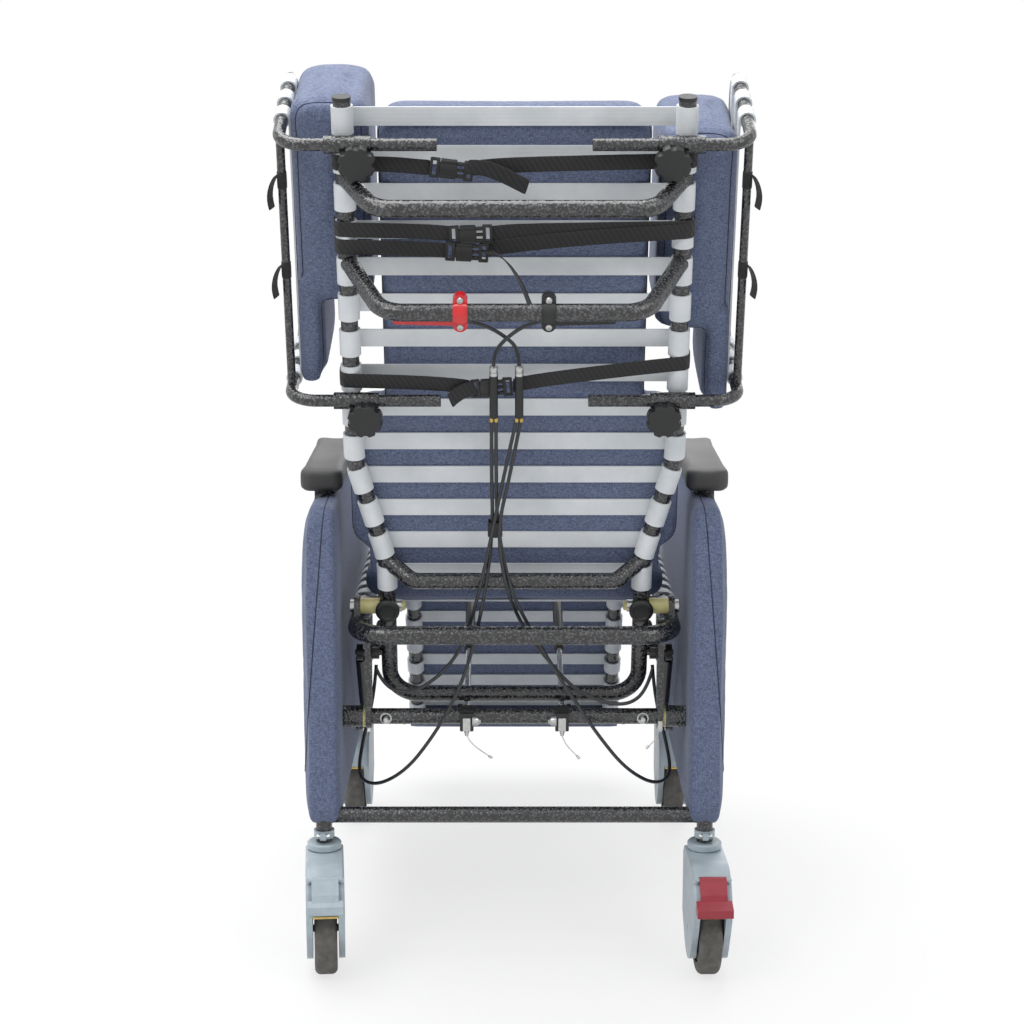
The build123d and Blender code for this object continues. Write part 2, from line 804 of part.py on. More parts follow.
def pad_section(side, up, thick):
    mid = on_back(side * (pad_out - thick / 2), up, pad_rear - pad_depth / 2)
    return Plane(origin=mid, x_dir=(1, 0, 0), z_dir=back_up)


def wing_pad(side, top, step, bottom):
    with BuildPart() as pad:
        for rise, inset in rounded_end:
            with BuildSketch(pad_section(side, step + rise, bolster_t)):
                RectangleRounded(bolster_t - 2 * inset, pad_depth - 2 * inset, 28)
        for rise, inset in reversed(rounded_end):
            with BuildSketch(pad_section(side, top - rise, bolster_t)):
                RectangleRounded(bolster_t - 2 * inset, pad_depth - 2 * inset, 28)
        loft(ruled=True)
        for up, inset in ((bottom, 6), (bottom + 4, 2.5), (bottom + 14, 0), (step + 30, 0)):
            with BuildSketch(pad_section(side, up, thin_t)):
                RectangleRounded(thin_t - 2 * inset, pad_depth - 2 * inset, 8)
        loft(ruled=True)
    return pad.part


for side, name, drop in ((-1, "left", 0), (1, "right", 40)):
    save(wing_frame(side), f"{name}_wing_frame")
    save(wing_straps(side), f"{name}_wing_straps")
    save(wing_pad(side, 706 - drop, 438 - drop, 322 - drop), f"{name}_wing_pad")

# Leg rest: a bar on the seat's pins, two side tubes and a low bar with round ends
leg_bar_half = 200.0
low_bar_half = 188.0
low_bar_r = 7.0
lever_end = (
    leg_hinge_fwd - leg_lever * sin(radians(leg_lever_turn)),
    leg_hinge_z - leg_lever * cos(radians(leg_lever_turn)),
)
with BuildPart() as legrest_frame:
    for side in (-1, 1):
        add(bar(on_leg(side * leg_x, 0, 0), on_leg(side * leg_x, leg_len, 0), tube_d / 2))
        add(side_link(side, leg_spring_x + 6, leg_spring_x + 12, (leg_hinge_fwd, leg_hinge_z), lever_end, 10))
        add(bar(at(side * (leg_spring_x + 10), *lever_end), at(side * (leg_spring_x - 7), *lever_end), pin_r))
        with Locations(Pos(*on_leg(side * low_bar_half, leg_len, 0))):
            Sphere(10)
    add(bar(on_leg(-leg_bar_half, 0, 0), on_leg(leg_bar_half, 0, 0), tube_d / 2))
    add(bar(on_leg(-low_bar_half, leg_len, 0), on_leg(low_bar_half, leg_len, 0), low_bar_r))
    add(bar(on_leg(-leg_bar_half - 1, 0, 0), on_leg(leg_bar_half + 1, 0, 0), 8.0 + run_fit), mode=Mode.SUBTRACT)
save(legrest_frame.part, "legrest_frame")

leg_strap_start = 62.0
leg_strap_count = 7
with BuildPart() as legrest_straps:
    loop_in = tube_d / 2 + loop_fit
    for step in range(leg_strap_count):
        down = leg_strap_start + step * strap_pitch
        face = Plane(origin=on_leg(0, down - strap_w / 2, 0), x_dir=(1, 0, 0), z_dir=leg_plane.y_dir)
        front = -1 if leg_plane.z_dir.dot(face.y_dir) < 0 else 1
        with BuildSketch(face):
            with Locations((-leg_x, 0), (leg_x, 0)):
                Circle(loop_in + strap_t)
            with Locations((0, front * (loop_in + strap_t / 2))):
                Rectangle(2 * leg_x, strap_t)
            with Locations((-leg_x, 0), (leg_x, 0)):
                Circle(loop_in, mode=Mode.SUBTRACT)
        extrude(amount=strap_w)
save(legrest_straps.part, "legrest_straps")

calf_start = 26.0
calf_end = 402.0
calf_cushion = soft_block(
    Plane(
        origin=on_leg(0, (calf_start + calf_end) / 2, tube_d / 2 + loop_fit + strap_t + skin),
        x_dir=(1, 0, 0),
        z_dir=leg_plane.z_dir,
    ),
    360.0,
    calf_end - calf_start,
    52.0,
    34.0,
    6.0,
    24.0,
)
save(calf_cushion, "calf_cushion")


# Gas spring: a cylinder with a bored end and a rod that runs in it, each with an eye
def spring_pair(x, cyl_pin, rod_pin, cyl_len, insert, cyl_hole, rod_hole):
    a = Vector(*at(x, *cyl_pin))
    b = Vector(*at(x, *rod_pin))
    along = (b - a).normalized()
    half = Vector(eye_t / 2, 0, 0)
    cyl_start = cyl_hole + 8
    mouth = cyl_start + cyl_len
    with BuildPart() as cylinder:
        add(bar(a - half, a + half, cyl_hole + 5))
        add(bar(a + along * (cyl_hole + 2), a + along * (cyl_start + 1), rod_r))
        add(bar(a + along * cyl_start, a + along * mouth, cyl_r))
        add(bar(a + along * (cyl_start + 12), a + along * (mouth + 1), rod_r + run_fit), mode=Mode.SUBTRACT)
        add(bar(a - half * 1.1, a + half * 1.1, cyl_hole), mode=Mode.SUBTRACT)
    with BuildPart() as rod:
        add(bar(b - half, b + half, rod_hole + 5))
        add(bar(b - along * (rod_hole + 2), a + along * (mouth - insert), rod_r))
        add(bar(b - half * 1.1, b + half * 1.1, rod_hole), mode=Mode.SUBTRACT)
    return cylinder.part, rod.part


def save_springs(name, x, cyl_pin, rod_pin, cyl_len, insert, cyl_hole, rod_hole):
    pairs = [spring_pair(side * x, cyl_pin, rod_pin, cyl_len, insert, cyl_hole, rod_hole) for side in (-1, 1)]
    with BuildPart() as cylinders:
        for cylinder, rod in pairs:
            add(cylinder)
    save(cylinders.part, f"{name}_cylinders")
    with BuildPart() as rods:
        for cylinder, rod in pairs:
            add(rod)
    save(rods.part, f"{name}_rods")


held = pin_r + run_fit
tail_pin = (
    hinge_fwd - recline_pin * sin(radians(lean)),
    hinge_z + recline_pin * cos(radians(lean)),
)
recline_play = pin_r + recline_drift + skin
tilt_play = pin_r + tilt_drift + skin
leg_play = pin_r + leg_drift + skin
save_springs("recline_spring", recline_x, tail_pin, recline_far, 128.0, 62.0, held, recline_play)
save_springs("tilt_spring", tilt_spring_x, tilt_seat_pin, tilt_base_pin, 112.0, 92.0, tilt_play, held)
save_springs("leg_spring", leg_spring_x, lever_end, leg_rear_pin, 240.0, 96.0, leg_play, held)


# Webbing that holds the cushion: each strap goes round both uprights and across the back
web_t = 1.6
web_w = 20.0
web_gap = tube_d / 2 + loop_fit + strap_t + skin


def webbing(up):
    near = web_gap + web_t / 2
    side_x = upright_x + near
    with BuildPart() as band:
        with BuildSketch(Plane(origin=on_back(0, up - web_w / 2, 0), x_dir=(1, 0, 0), z_dir=back_up)):
            with BuildLine() as course:
                FilletPolyline(
                    (-side_x, web_gap - 4), (-side_x, -near), (side_x, -near), (side_x, web_gap - 4), radius=10
                )
            trace(course.edges(), line_width=web_t)
        extrude(amount=web_w)
    return band.part


web_levels = (strap_top - strap_pitch, 551.0, 529.0, strap_top - 7 * strap_pitch)
buckle_spots = (-78.0, -55.0, -60.0, -30.0)
with BuildPart() as back_webbing:
    for level in web_levels:
        add(webbing(level))
save(back_webbing.part, "back_webbing")

with BuildPart() as back_buckles:
    for level, x in zip(web_levels, buckle_spots):
        with BuildSketch(back.offset(web_gap + web_t + skin)):
            with Locations((x, level)):
                RectangleRounded(55, 21, 4)
                with Locations((-21, 0), (21, 0)):
                    Rectangle(5, 15, mode=Mode.SUBTRACT)
        extrude(amount=5)
save(back_buckles.part, "back_buckles")

# Lever clamps: a saddle over the push bar held by two screws, with the hand lever in front of it
lever_up = push_up - 16.5
lever_near = 98.0
lever_len = 84.0
lever_t = 7.5
lever_pin_r = 3.0
clamp_w = 18.0
clamp_len = 49.0
clamp_rear = push_rear + 4.0
clamp_t = 14.0


def lever_clamp(x):
    with BuildPart() as clamp:
        with BuildSketch(back.offset(clamp_rear - clamp_t)):
            with Locations((x, push_up)):
                SlotOverall(clamp_len, clamp_w, rotation=90)
        extrude(amount=clamp_t)
        for half, rise in ((clamp_w / 2, 2.0), (clamp_w / 2 - 1.2, 3.3), (clamp_w / 2 - 3.4, 4.2)):
            left_end = on_back(x - half, push_up, push_rear)
            right_end = on_back(x + half, push_up, push_rear)
            add(bar(left_end, right_end, tube_d / 2 + rise))
        add(
            bar(
                on_back(x - clamp_w, push_up, push_rear),
                on_back(x + clamp_w, push_up, push_rear),
                tube_d / 2 + 0.05,
            ),
            mode=Mode.SUBTRACT,
        )
        add(bar(on_back(x, lever_up, lever_near - 2), on_back(x, lever_up, clamp_rear - 2), lever_pin_r))
    return clamp.part


def hand_lever(x, side):
    with BuildPart() as lever:
        with BuildSketch(back.offset(lever_near)):
            with BuildLine():
                Polyline(
                    (x - side * 8, lever_up - 7),
                    (x - side * 8, lever_up + 7),
                    (x + side * 14, lever_up + 6),
                    (x + side * lever_len, lever_up + 4),
                    (x + side * lever_len, lever_up - 5),
                    (x + side * 14, lever_up - 7),
                    close=True,
                )
            make_face()
        extrude(amount=lever_t)
        fillet(lever.edges().filter_by(Axis(on_back(0, 0, 0), back.z_dir)), 3)
        add(
            bar(on_back(x, lever_up, lever_near - 1), on_back(x, lever_up, lever_near + lever_t + 1),
                lever_pin_r + run_fit),
            mode=Mode.SUBTRACT,
        )
    return lever.part


red_x = -67.0
black_x = 42.0
save(lever_clamp(red_x), "red_lever_clamp")
save(lever_clamp(black_x), "black_lever_clamp")
save(hand_lever(red_x, -1), "red_lever")
save(hand_lever(black_x, 1), "black_lever")

# Cable splitters, side by side behind the lower strap buckle
split_rear = 33.0
split_low = 300.0
split_high = 372.0
split_x = (-27.0, 6.0)
with BuildPart() as cable_splitters:
    for x in split_x:
        add(bar(on_back(x, split_low + skin, split_rear), on_back(x, split_high - 12, split_rear), 5.6))
        add(bar(on_back(x, split_high - 12, split_rear), on_back(x, split_high, split_rear), 4.2))
save(cable_splitters.part, "cable_splitters")


# A cable along points, with each corner as round as its runs allow
def cable(points, d):
    spots = [Vector(*p) if isinstance(p, tuple) else p for p in points]
    bends = []
    for a, b, c in zip(spots, spots[1:], spots[2:]):
        turn = (b - a).get_angle(c - b)
        bends.append(0.45 * min((b - a).length, (c - b).length) / tan(radians(turn / 2)))
    return bent_tube(spots, bends, d, 0)


cable_d = 5.0
lever_cable_up = 463.0
cable_seat = split_high + 1.8
with BuildPart() as lever_cables:
    add(
        cable(
            [
                on_back(red_x + clamp_w / 2 + 1, lever_cable_up, 102),
                on_back(-38, 458, 100),
                on_back(-12, 434, 80),
                on_back(5, 404, 50),
                on_back(split_x[1], cable_seat, split_rear),
            ],
            cable_d,
        )
    )
    add(
        cable(
            [
                on_back(black_x - clamp_w / 2 - 1, lever_cable_up, 102),
                on_back(14, 459, 102),
                on_back(-10, 437, 92),
                on_back(-26, 404, 60),
                on_back(split_x[0], cable_seat, split_rear),
            ],
            cable_d,
        )
    )
save(lever_cables.part, "lever_cables")

tie_up = 133.0
with BuildPart() as recline_cables:
    add(
        cable(
            [
                on_back(split_x[1] - 3, split_low - 0.3, split_rear),
                on_back(-14, 215, 31),
                on_back(-28.9, tie_up, 28),
                on_back(-46, 52, 44),
                at(-70, 36, 440),
                at(-106, 38, 395),
                at(-146, 48, 370),
                at(-180, 58, 377),
                at(-192, 66, 402),
            ],
            cable_d,
        )
    )
    add(
        cable(
            [
                on_back(split_x[1] + 3, split_low - 0.3, split_rear),
                on_back(-6, 215, 31),
                on_back(-23.1, tie_up, 28),
                on_back(-13, 56, 44),
                at(10, 36, 470),
                at(44, 35, 424),
                at(80, 36, 382),
                at(122, 42, 359),
                at(160, 50, 354),
                at(184, 58, 374),
                at(192, 66, 402),
            ],
            cable_d,
        )
    )
save(recline_cables.part, "recline_cables")

with BuildPart() as tilt_cables:
    add(
        cable(
            [
                on_back(split_x[0] - 3, split_low - 0.3, split_rear),
                on_back(-30.5, 215, 27),
                on_back(-28.9, tie_up, 22),
                on_back(-38, 50, 41),
                at(-60, 27, 425),
                at(-84, 25, 365),
                at(-112, 26, 316),
                at(-150, 34, 264),
                at(-194, 56, 234),
                at(-222, 94, 236),
                at(-216, 132, 280),
                at(-201, 156, 336),
                at(-198, 166, 380),
            ],
            cable_d,
        )
    )
    add(
        cable(
            [
                on_back(split_x[0] + 3, split_low - 0.3, split_rear),
                on_back(-24.5, 215, 27),
                on_back(-23.1, tie_up, 22),
                on_back(-6, 48, 41),
                at(22, 24, 468),
                at(56, 24, 410),
                at(86, 25, 362),
                at(116, 28, 316),
                at(154, 36, 266),
                at(197, 58, 235),
                at(223, 96, 238),
                at(216, 132, 280),
                at(201, 156, 336),
                at(198, 166, 380),
            ],
            cable_d,
        )
    )
save(tilt_cables.part, "tilt_cables")
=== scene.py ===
import bpy
import bmesh
import math
from mathutils import Matrix, Vector


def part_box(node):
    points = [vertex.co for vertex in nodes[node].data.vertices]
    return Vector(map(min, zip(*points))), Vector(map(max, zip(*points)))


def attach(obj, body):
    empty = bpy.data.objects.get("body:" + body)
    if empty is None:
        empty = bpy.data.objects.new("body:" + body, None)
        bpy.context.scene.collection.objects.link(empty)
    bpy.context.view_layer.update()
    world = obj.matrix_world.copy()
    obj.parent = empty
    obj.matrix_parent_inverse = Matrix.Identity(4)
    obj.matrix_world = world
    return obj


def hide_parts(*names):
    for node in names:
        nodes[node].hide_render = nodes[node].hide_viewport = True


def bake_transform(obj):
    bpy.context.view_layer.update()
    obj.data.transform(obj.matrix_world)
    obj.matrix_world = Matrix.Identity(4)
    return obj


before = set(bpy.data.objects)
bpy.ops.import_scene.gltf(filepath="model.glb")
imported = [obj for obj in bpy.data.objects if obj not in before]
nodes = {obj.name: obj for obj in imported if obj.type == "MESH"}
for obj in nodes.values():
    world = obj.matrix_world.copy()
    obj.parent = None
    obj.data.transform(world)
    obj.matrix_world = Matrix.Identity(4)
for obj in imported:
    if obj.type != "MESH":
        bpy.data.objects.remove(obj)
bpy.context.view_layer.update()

# The studio: a wide pale floor under a white sky, a large soft lamp overhead, two weaker ones high
# behind and one in front. The camera stands behind the chair, as high as the top of its back.
rear_stems = -0.302
camera_data = bpy.data.cameras.new("camera")
camera_data.sensor_width = 36
camera_data.lens = 77.34
camera_data.clip_end = 60
camera = bpy.data.objects.new("camera", camera_data)
camera.location = (-0.0033, rear_stems - 2.888, 1.207)
camera.rotation_euler = (math.radians(90 - 11.18), 0, 0)
bpy.context.collection.objects.link(camera)
bpy.context.scene.camera = camera
bpy.context.scene.view_settings.view_transform = "Standard"


def linear(hex_colour):
    parts = [int(hex_colour[i:i + 2], 16) / 255 for i in (1, 3, 5)]
    return [c / 12.92 if c <= 0.04045 else ((c + 0.055) / 1.055) ** 2.4 for c in parts] + [1]


def put(tree, kind, sockets, **settings):
    made = tree.nodes.new(kind)
    for key, value in settings.items():
        setattr(made, key, value)
    for key, value in sockets.items():
        if isinstance(value, bpy.types.NodeSocket):
            tree.links.new(value, made.inputs[key])
        else:
            made.inputs[key].default_value = value
    return made


def new_finish(name, **sockets):
    made = bpy.data.materials.new(name)
    made.use_nodes = True
    shader = made.node_tree.nodes["Principled BSDF"]
    for key, value in sockets.items():
        shader.inputs[key.replace("_", " ")].default_value = value
    place = put(made.node_tree, "ShaderNodeTexCoord", {}).outputs["Object"]
    return made, made.node_tree, shader, place


def lamp(name, where, aim, size, watts):
    data = bpy.data.lights.new(name, "AREA")
    data.size = size
    data.energy = watts
    made = bpy.data.objects.new(name, data)
    made.location = where
    made.rotation_euler = (Vector(aim) - Vector(where)).to_track_quat("-Z", "Y").to_euler()
    bpy.context.collection.objects.link(made)


lamp("overhead", (-0.5, 0.2, 3.4), (0, 0, 0.6), 2.6, 92)
lamp("behind_left", (-1.7, -2.3, 3.2), (0, -0.2, 0.7), 1.6, 40)
lamp("behind_right", (1.9, -2.1, 2.9), (0, -0.2, 0.6), 1.6, 22)
lamp("front", (0.8, 3.2, 2.2), (0, 0.2, 0.6), 2.2, 34)

world = bpy.data.worlds.new("studio")
world.use_nodes = True
bpy.context.scene.world = world
sky = world.node_tree
rays = put(sky, "ShaderNodeLightPath", {})
seen = put(
    sky,
    "ShaderNodeMath",
    {0: rays.outputs["Is Camera Ray"], 1: rays.outputs["Is Glossy Ray"]},
    operation="MAXIMUM",
)
white = put(sky, "ShaderNodeBackground", {"Color": linear("#ffffff"), "Strength": 1.0})
soft = put(sky, "ShaderNodeBackground", {"Color": linear("#f2f4f8"), "Strength": 0.42})
both = put(sky, "ShaderNodeMixShader", {0: seen.outputs[0], 1: soft.outputs[0], 2: white.outputs[0]})
sky.links.new(both.outputs[0], sky.nodes["World Output"].inputs["Surface"])

floor_mesh = bpy.data.meshes.new("floor")
shape = bmesh.new()
bmesh.ops.create_grid(shape, x_segments=1, y_segments=1, size=14)
shape.to_mesh(floor_mesh)
shape.free()
floor = bpy.data.objects.new("floor", floor_mesh)
bpy.context.collection.objects.link(floor)
pale, pale_tree, pale_shader, pale_place = new_finish("painted_floor", Roughness=0.9)
pale_shader.inputs["Base Color"].default_value = linear("#f4f4f4")
pale_rays = put(pale_tree, "ShaderNodeLightPath", {})
glow = put(pale_tree, "ShaderNodeEmission", {"Color": linear("#ffffff"), "Strength": 1.0})
afar = put(pale_tree, "ShaderNodeVectorMath", {0: pale_place}, operation="LENGTH")
fade = put(
    pale_tree,
    "ShaderNodeMapRange",
    {"Value": afar.outputs["Value"], "From Min": 0.5, "From Max": 1.7, "To Min": 0.72, "To Max": 1.0},
)
lit = put(
    pale_tree,
    "ShaderNodeMixShader",
    {0: fade.outputs["Result"], 1: pale_shader.outputs[0], 2: glow.outputs[0]},
)
either = put(
    pale_tree,
    "ShaderNodeMath",
    {0: pale_rays.outputs["Is Camera Ray"], 1: pale_rays.outputs["Is Glossy Ray"]},
    operation="MAXIMUM",
)
shown = put(
    pale_tree,
    "ShaderNodeMixShader",
    {0: either.outputs[0], 1: pale_shader.outputs[0], 2: lit.outputs[0]},
)
pale_tree.links.new(shown.outputs[0], pale_tree.nodes["Material Output"].inputs["Surface"])
floor_mesh.materials.append(pale)

# Every back piece is placed along the leaning back: x to the right, up along the uprights from the
# hinge, and rear as the distance behind the uprights.
lean = math.radians(16)
hinge = Vector((0, rear_stems + 0.060, 0.493))
back_up = Vector((0, -math.sin(lean), math.cos(lean)))
back_rear = Vector((0, -math.cos(lean), -math.sin(lean)))


def on_back(x, up, rear):
    return Vector((x, 0, 0)) / 1000 + hinge + back_up * up / 1000 + back_rear * rear / 1000


def at(x, fwd, up):
    return Vector((x / 1000, rear_stems + fwd / 1000, up / 1000))


# Brake-style cables: a wound steel core in a smooth black PVC sheath, 5 mm across. Two run from the
# hand levers to the splitters, and four from there to the gas springs.
sheath, tree, shader, place = new_finish("black_PVC_sheath", Roughness=0.34)
scuff = put(tree, "ShaderNodeTexNoise", {"Vector": place, "Scale": 160.0, "Detail": 3.0})
tone = put(tree, "ShaderNodeValToRGB", {"Fac": scuff.outputs["Fac"]})
tone.color_ramp.elements[0].color = linear("#1d1e20")
tone.color_ramp.elements[1].color = linear("#3b3d40")
tree.links.new(tone.outputs["Color"], shader.inputs["Base Color"])
cable_d = 0.005


def route(name, points):
    line = bpy.data.curves.new(name, "CURVE")
    line.dimensions = "3D"
    line.resolution_u = 10
    spline = line.splines.new("NURBS")
    spline.points.add(len(points) - 1)
    for spot, point in zip(spline.points, points):
        spot.co = (*point, 1)
    spline.order_u = 3
    spline.use_endpoint_u = True
    made = bpy.data.objects.new(name, line)
    bpy.context.collection.objects.link(made)
    return made


def centreline(curve):
    bare = bpy.data.meshes.new_from_object(curve)
    spots = [v.co.copy() for v in bare.vertices]
    bpy.data.meshes.remove(bare)
    return spots


def reach(spots):
    return sum((b - a).length for a, b in zip(spots, spots[1:]))


def lever_cable(name, points):
    made = route(name, points)
    length = reach(centreline(made))
    made.data.bevel_depth = cable_d / 2
    made.data.bevel_resolution = 4
    made.data.use_fill_caps = True
    made.data.materials.append(sheath)
    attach(made, "backrest")
    return made


split_left, split_right = -27, 6
red_cable = lever_cable("red_lever_cable", [
    on_back(-57, 463, 102), on_back(-38, 458, 100), on_back(-12, 434, 80), on_back(5, 404, 50),
    on_back(split_right, 373.8, 33)])
black_cable = lever_cable("black_lever_cable", [
    on_back(32, 463, 102), on_back(14, 459, 102), on_back(-10, 437, 92), on_back(-26, 404, 60),
    on_back(split_left, 373.8, 33)])
for piece in (red_cable, black_cable):
    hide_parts("lever_cables")
left_recline = lever_cable("left_recline_cable", [
    on_back(split_right - 3, 299.7, 33), on_back(-14, 215, 31),
    on_back(-28.9, 133, 28), on_back(-46, 52, 44),
    at(-70, 36, 440), at(-106, 38, 395), at(-146, 48, 370), at(-180, 58, 377), at(-192, 66, 402)])
right_recline = lever_cable("right_recline_cable", [
    on_back(split_right + 3, 299.7, 33), on_back(-6, 215, 31),
    on_back(-23.1, 133, 28), on_back(-13, 56, 44),
    at(10, 36, 470), at(44, 35, 424), at(80, 36, 382), at(122, 42, 359), at(160, 50, 354), at(184, 58, 374),
    at(192, 66, 402)])
for piece in (left_recline, right_recline):
    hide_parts("recline_cables")


def tilt_cable(name, points):
    curve = route(name + "_line", points)
    spots = centreline(curve)
    curve.data.bevel_depth = cable_d / 2
    curve.data.bevel_resolution = 3
    curve.data.use_fill_caps = True
    mesh = bpy.data.meshes.new_from_object(curve)
    bpy.data.objects.remove(curve)
    mesh.name = name
    mesh.materials.clear()
    mesh.materials.append(sheath)
    made = bpy.data.objects.new(name, mesh)
    bpy.context.collection.objects.link(made)
    for face in mesh.polygons:
        face.use_smooth = True
    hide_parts("tilt_cables")
    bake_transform(made)


tilt_cable("left_tilt_cable", [
    on_back(split_left - 3, 299.7, 33), on_back(-30.5, 215, 27),
    on_back(-28.9, 133, 22), on_back(-38, 50, 41),
    at(-60, 27, 425), at(-84, 25, 365), at(-112, 26, 316), at(-150, 34, 264), at(-194, 56, 234),
    at(-222, 94, 236), at(-216, 132, 280), at(-201, 156, 336), at(-198, 166, 380)])
tilt_cable("right_tilt_cable", [
    on_back(split_left + 3, 299.7, 33), on_back(-24.5, 215, 27),
    on_back(-23.1, 133, 22), on_back(-6, 48, 41),
    at(22, 24, 468), at(56, 24, 410), at(86, 25, 362), at(116, 28, 316), at(154, 36, 266), at(197, 58, 235),
    at(223, 96, 238), at(216, 132, 280), at(201, 156, 336), at(198, 166, 380)])

# The tube frames: bent steel tube with a baked hammertone enamel, near black with a fine dimpled skin. The
# paler colour at the heart of each dimple is partly the enamel's own mottle and partly painted glints,
# standing in for the light the hammered skin breaks into small flecks. The CAD tubes are kept and only get
# this finish.
hammertone, tree, shader, place = new_finish(
    "black_hammertone_enamel", Roughness=0.24, Specular_IOR_Level=0.8)
dimple_mm = 3.2
dimples = put(
    tree,
    "ShaderNodeTexVoronoi",
    {"Vector": place, "Scale": 1000 / dimple_mm, "Randomness": 1.0},
    feature="SMOOTH_F1",
)
# paler flecks in the dimples: partly the enamel's own mottle, partly painted glints of light
fleck_and_painted_glint = put(tree, "ShaderNodeValToRGB", {"Fac": dimples.outputs["Distance"]})
fleck_and_painted_glint.color_ramp.elements[0].position = 0.12
fleck_and_painted_glint.color_ramp.elements[0].color = linear("#58595c")
fleck_and_painted_glint.color_ramp.elements[1].position = 0.48
fleck_and_painted_glint.color_ramp.elements[1].color = linear("#131415")
tree.links.new(fleck_and_painted_glint.outputs["Color"], shader.inputs["Base Color"])
hammered = put(
    tree,
    "ShaderNodeBump",
    {"Height": dimples.outputs["Distance"], "Strength": 0.8, "Distance": 0.0009},
    invert=True,
)
tree.links.new(hammered.outputs["Normal"], shader.inputs["Normal"])


def dress(finish, *names):
    for name in names:
        for holder in nodes[name].material_slots:
            holder.material = finish


dress(
    hammertone,
    "side_frames",
    "rear_cross_tube",
    "seat_frame",
    "back_frame",
    "back_cross_bars",
    "left_wing_frame",
    "right_wing_frame",
    "wing_sleeves",
    "legrest_frame",
)

# The elastic straps: grey rubbery webbing, looped round the tubes and welded to itself. It has a
# faint lengthwise rib, a dull sheen and slightly darker rubbed patches.
elastic, tree, shader, place = new_finish("grey_rubber_webbing", Roughness=0.5)
rub = put(tree, "ShaderNodeTexNoise", {"Vector": place, "Scale": 14.0, "Detail": 4.0, "Roughness": 0.6})
rubbed = put(tree, "ShaderNodeValToRGB", {"Fac": rub.outputs["Fac"]})
rubbed.color_ramp.elements[0].position = 0.3
rubbed.color_ramp.elements[0].color = linear("#cfd4d7")
rubbed.color_ramp.elements[1].position = 0.7
rubbed.color_ramp.elements[1].color = linear("#e4e7e9")
tree.links.new(rubbed.outputs["Color"], shader.inputs["Base Color"])
rib_mm = 2.4
ribs = put(
    tree,
    "ShaderNodeTexWave",
    {"Vector": place, "Scale": 1000 / rib_mm / 6.283, "Distortion": 0.0},
    bands_direction="Z",
)
ribbed = put(tree, "ShaderNodeBump", {"Height": ribs.outputs["Fac"], "Strength": 0.2, "Distance": 0.0004})
tree.links.new(ribbed.outputs["Normal"], shader.inputs["Normal"])
dress(elastic, "back_straps", "seat_straps", "legrest_straps", "left_wing_straps", "right_wing_straps")

# Small hardware: turned nylon bushes, zinc plated bolts, chromed piston rods, and black moulded
# plastic for the knobs, caps, plugs, buckles, splitters and the right lever clamp.
nylon, tree, shader, place = new_finish("yellow_nylon", Roughness=0.38, Subsurface_Weight=0.15)
aged = put(tree, "ShaderNodeTexNoise", {"Vector": place, "Scale": 90.0, "Detail": 2.0})
honey = put(tree, "ShaderNodeValToRGB", {"Fac": aged.outputs["Fac"]})
honey.color_ramp.elements[0].color = linear("#cdbb6e")
honey.color_ramp.elements[1].color = linear("#ebe2ad")
tree.links.new(honey.outputs["Color"], shader.inputs["Base Color"])
dress(nylon, "hinge_bushes")

zinc, tree, shader, place = new_finish("zinc_plate", Metallic=1.0, Roughness=0.3)
spangle = put(tree, "ShaderNodeTexNoise", {"Vector": place, "Scale": 240.0, "Detail": 3.0})
plated = put(tree, "ShaderNodeValToRGB", {"Fac": spangle.outputs["Fac"]})
plated.color_ramp.elements[0].color = linear("#a3a5a4")
plated.color_ramp.elements[1].color = linear("#d0d1cf")
tree.links.new(plated.outputs["Color"], shader.inputs["Base Color"])
dress(zinc, "hinge_bolts")

chrome, tree, shader, place = new_finish("chromed_steel", Metallic=1.0, Roughness=0.12)
wiped = put(tree, "ShaderNodeTexNoise", {"Vector": place, "Scale": 60.0, "Detail": 2.0})
film = put(tree, "ShaderNodeMapRange", {"Value": wiped.outputs["Fac"], "To Min": 0.08, "To Max": 0.24})
tree.links.new(film.outputs["Result"], shader.inputs["Roughness"])
shader.inputs["Base Color"].default_value = linear("#d9dbdc")
dress(chrome, "recline_spring_rods", "tilt_spring_rods", "leg_spring_rods")

moulded, tree, shader, place = new_finish("black_moulded_nylon", Roughness=0.45)
spark = put(tree, "ShaderNodeTexNoise", {"Vector": place, "Scale": 900.0, "Detail": 2.0})
graphite = put(tree, "ShaderNodeValToRGB", {"Fac": spark.outputs["Fac"]})
graphite.color_ramp.elements[0].color = linear("#161718")
graphite.color_ramp.elements[1].color = linear("#252627")
tree.links.new(graphite.outputs["Color"], shader.inputs["Base Color"])
eroded = put(tree, "ShaderNodeBump", {"Height": spark.outputs["Fac"], "Strength": 0.25, "Distance": 0.0003})
tree.links.new(eroded.outputs["Normal"], shader.inputs["Normal"])
dress(
    moulded,
    "upright_caps",
    "rail_plugs",
    "back_buckles",
    "black_lever_clamp",
    "cable_splitters",
    "left_high_knob",
    "left_low_knob",
    "right_high_knob",
    "right_low_knob",
    "black_lever",
)

satin_paint, tree, shader, place = new_finish("black_satin_paint", Roughness=0.3)
orange_peel = put(tree, "ShaderNodeTexNoise", {"Vector": place, "Scale": 420.0, "Detail": 1.0})
soot = put(tree, "ShaderNodeValToRGB", {"Fac": orange_peel.outputs["Fac"]})
soot.color_ramp.elements[0].color = linear("#141516")
soot.color_ramp.elements[1].color = linear("#262728")
tree.links.new(soot.outputs["Color"], shader.inputs["Base Color"])
dress(satin_paint, "recline_spring_cylinders", "tilt_spring_cylinders", "leg_spring_cylinders")

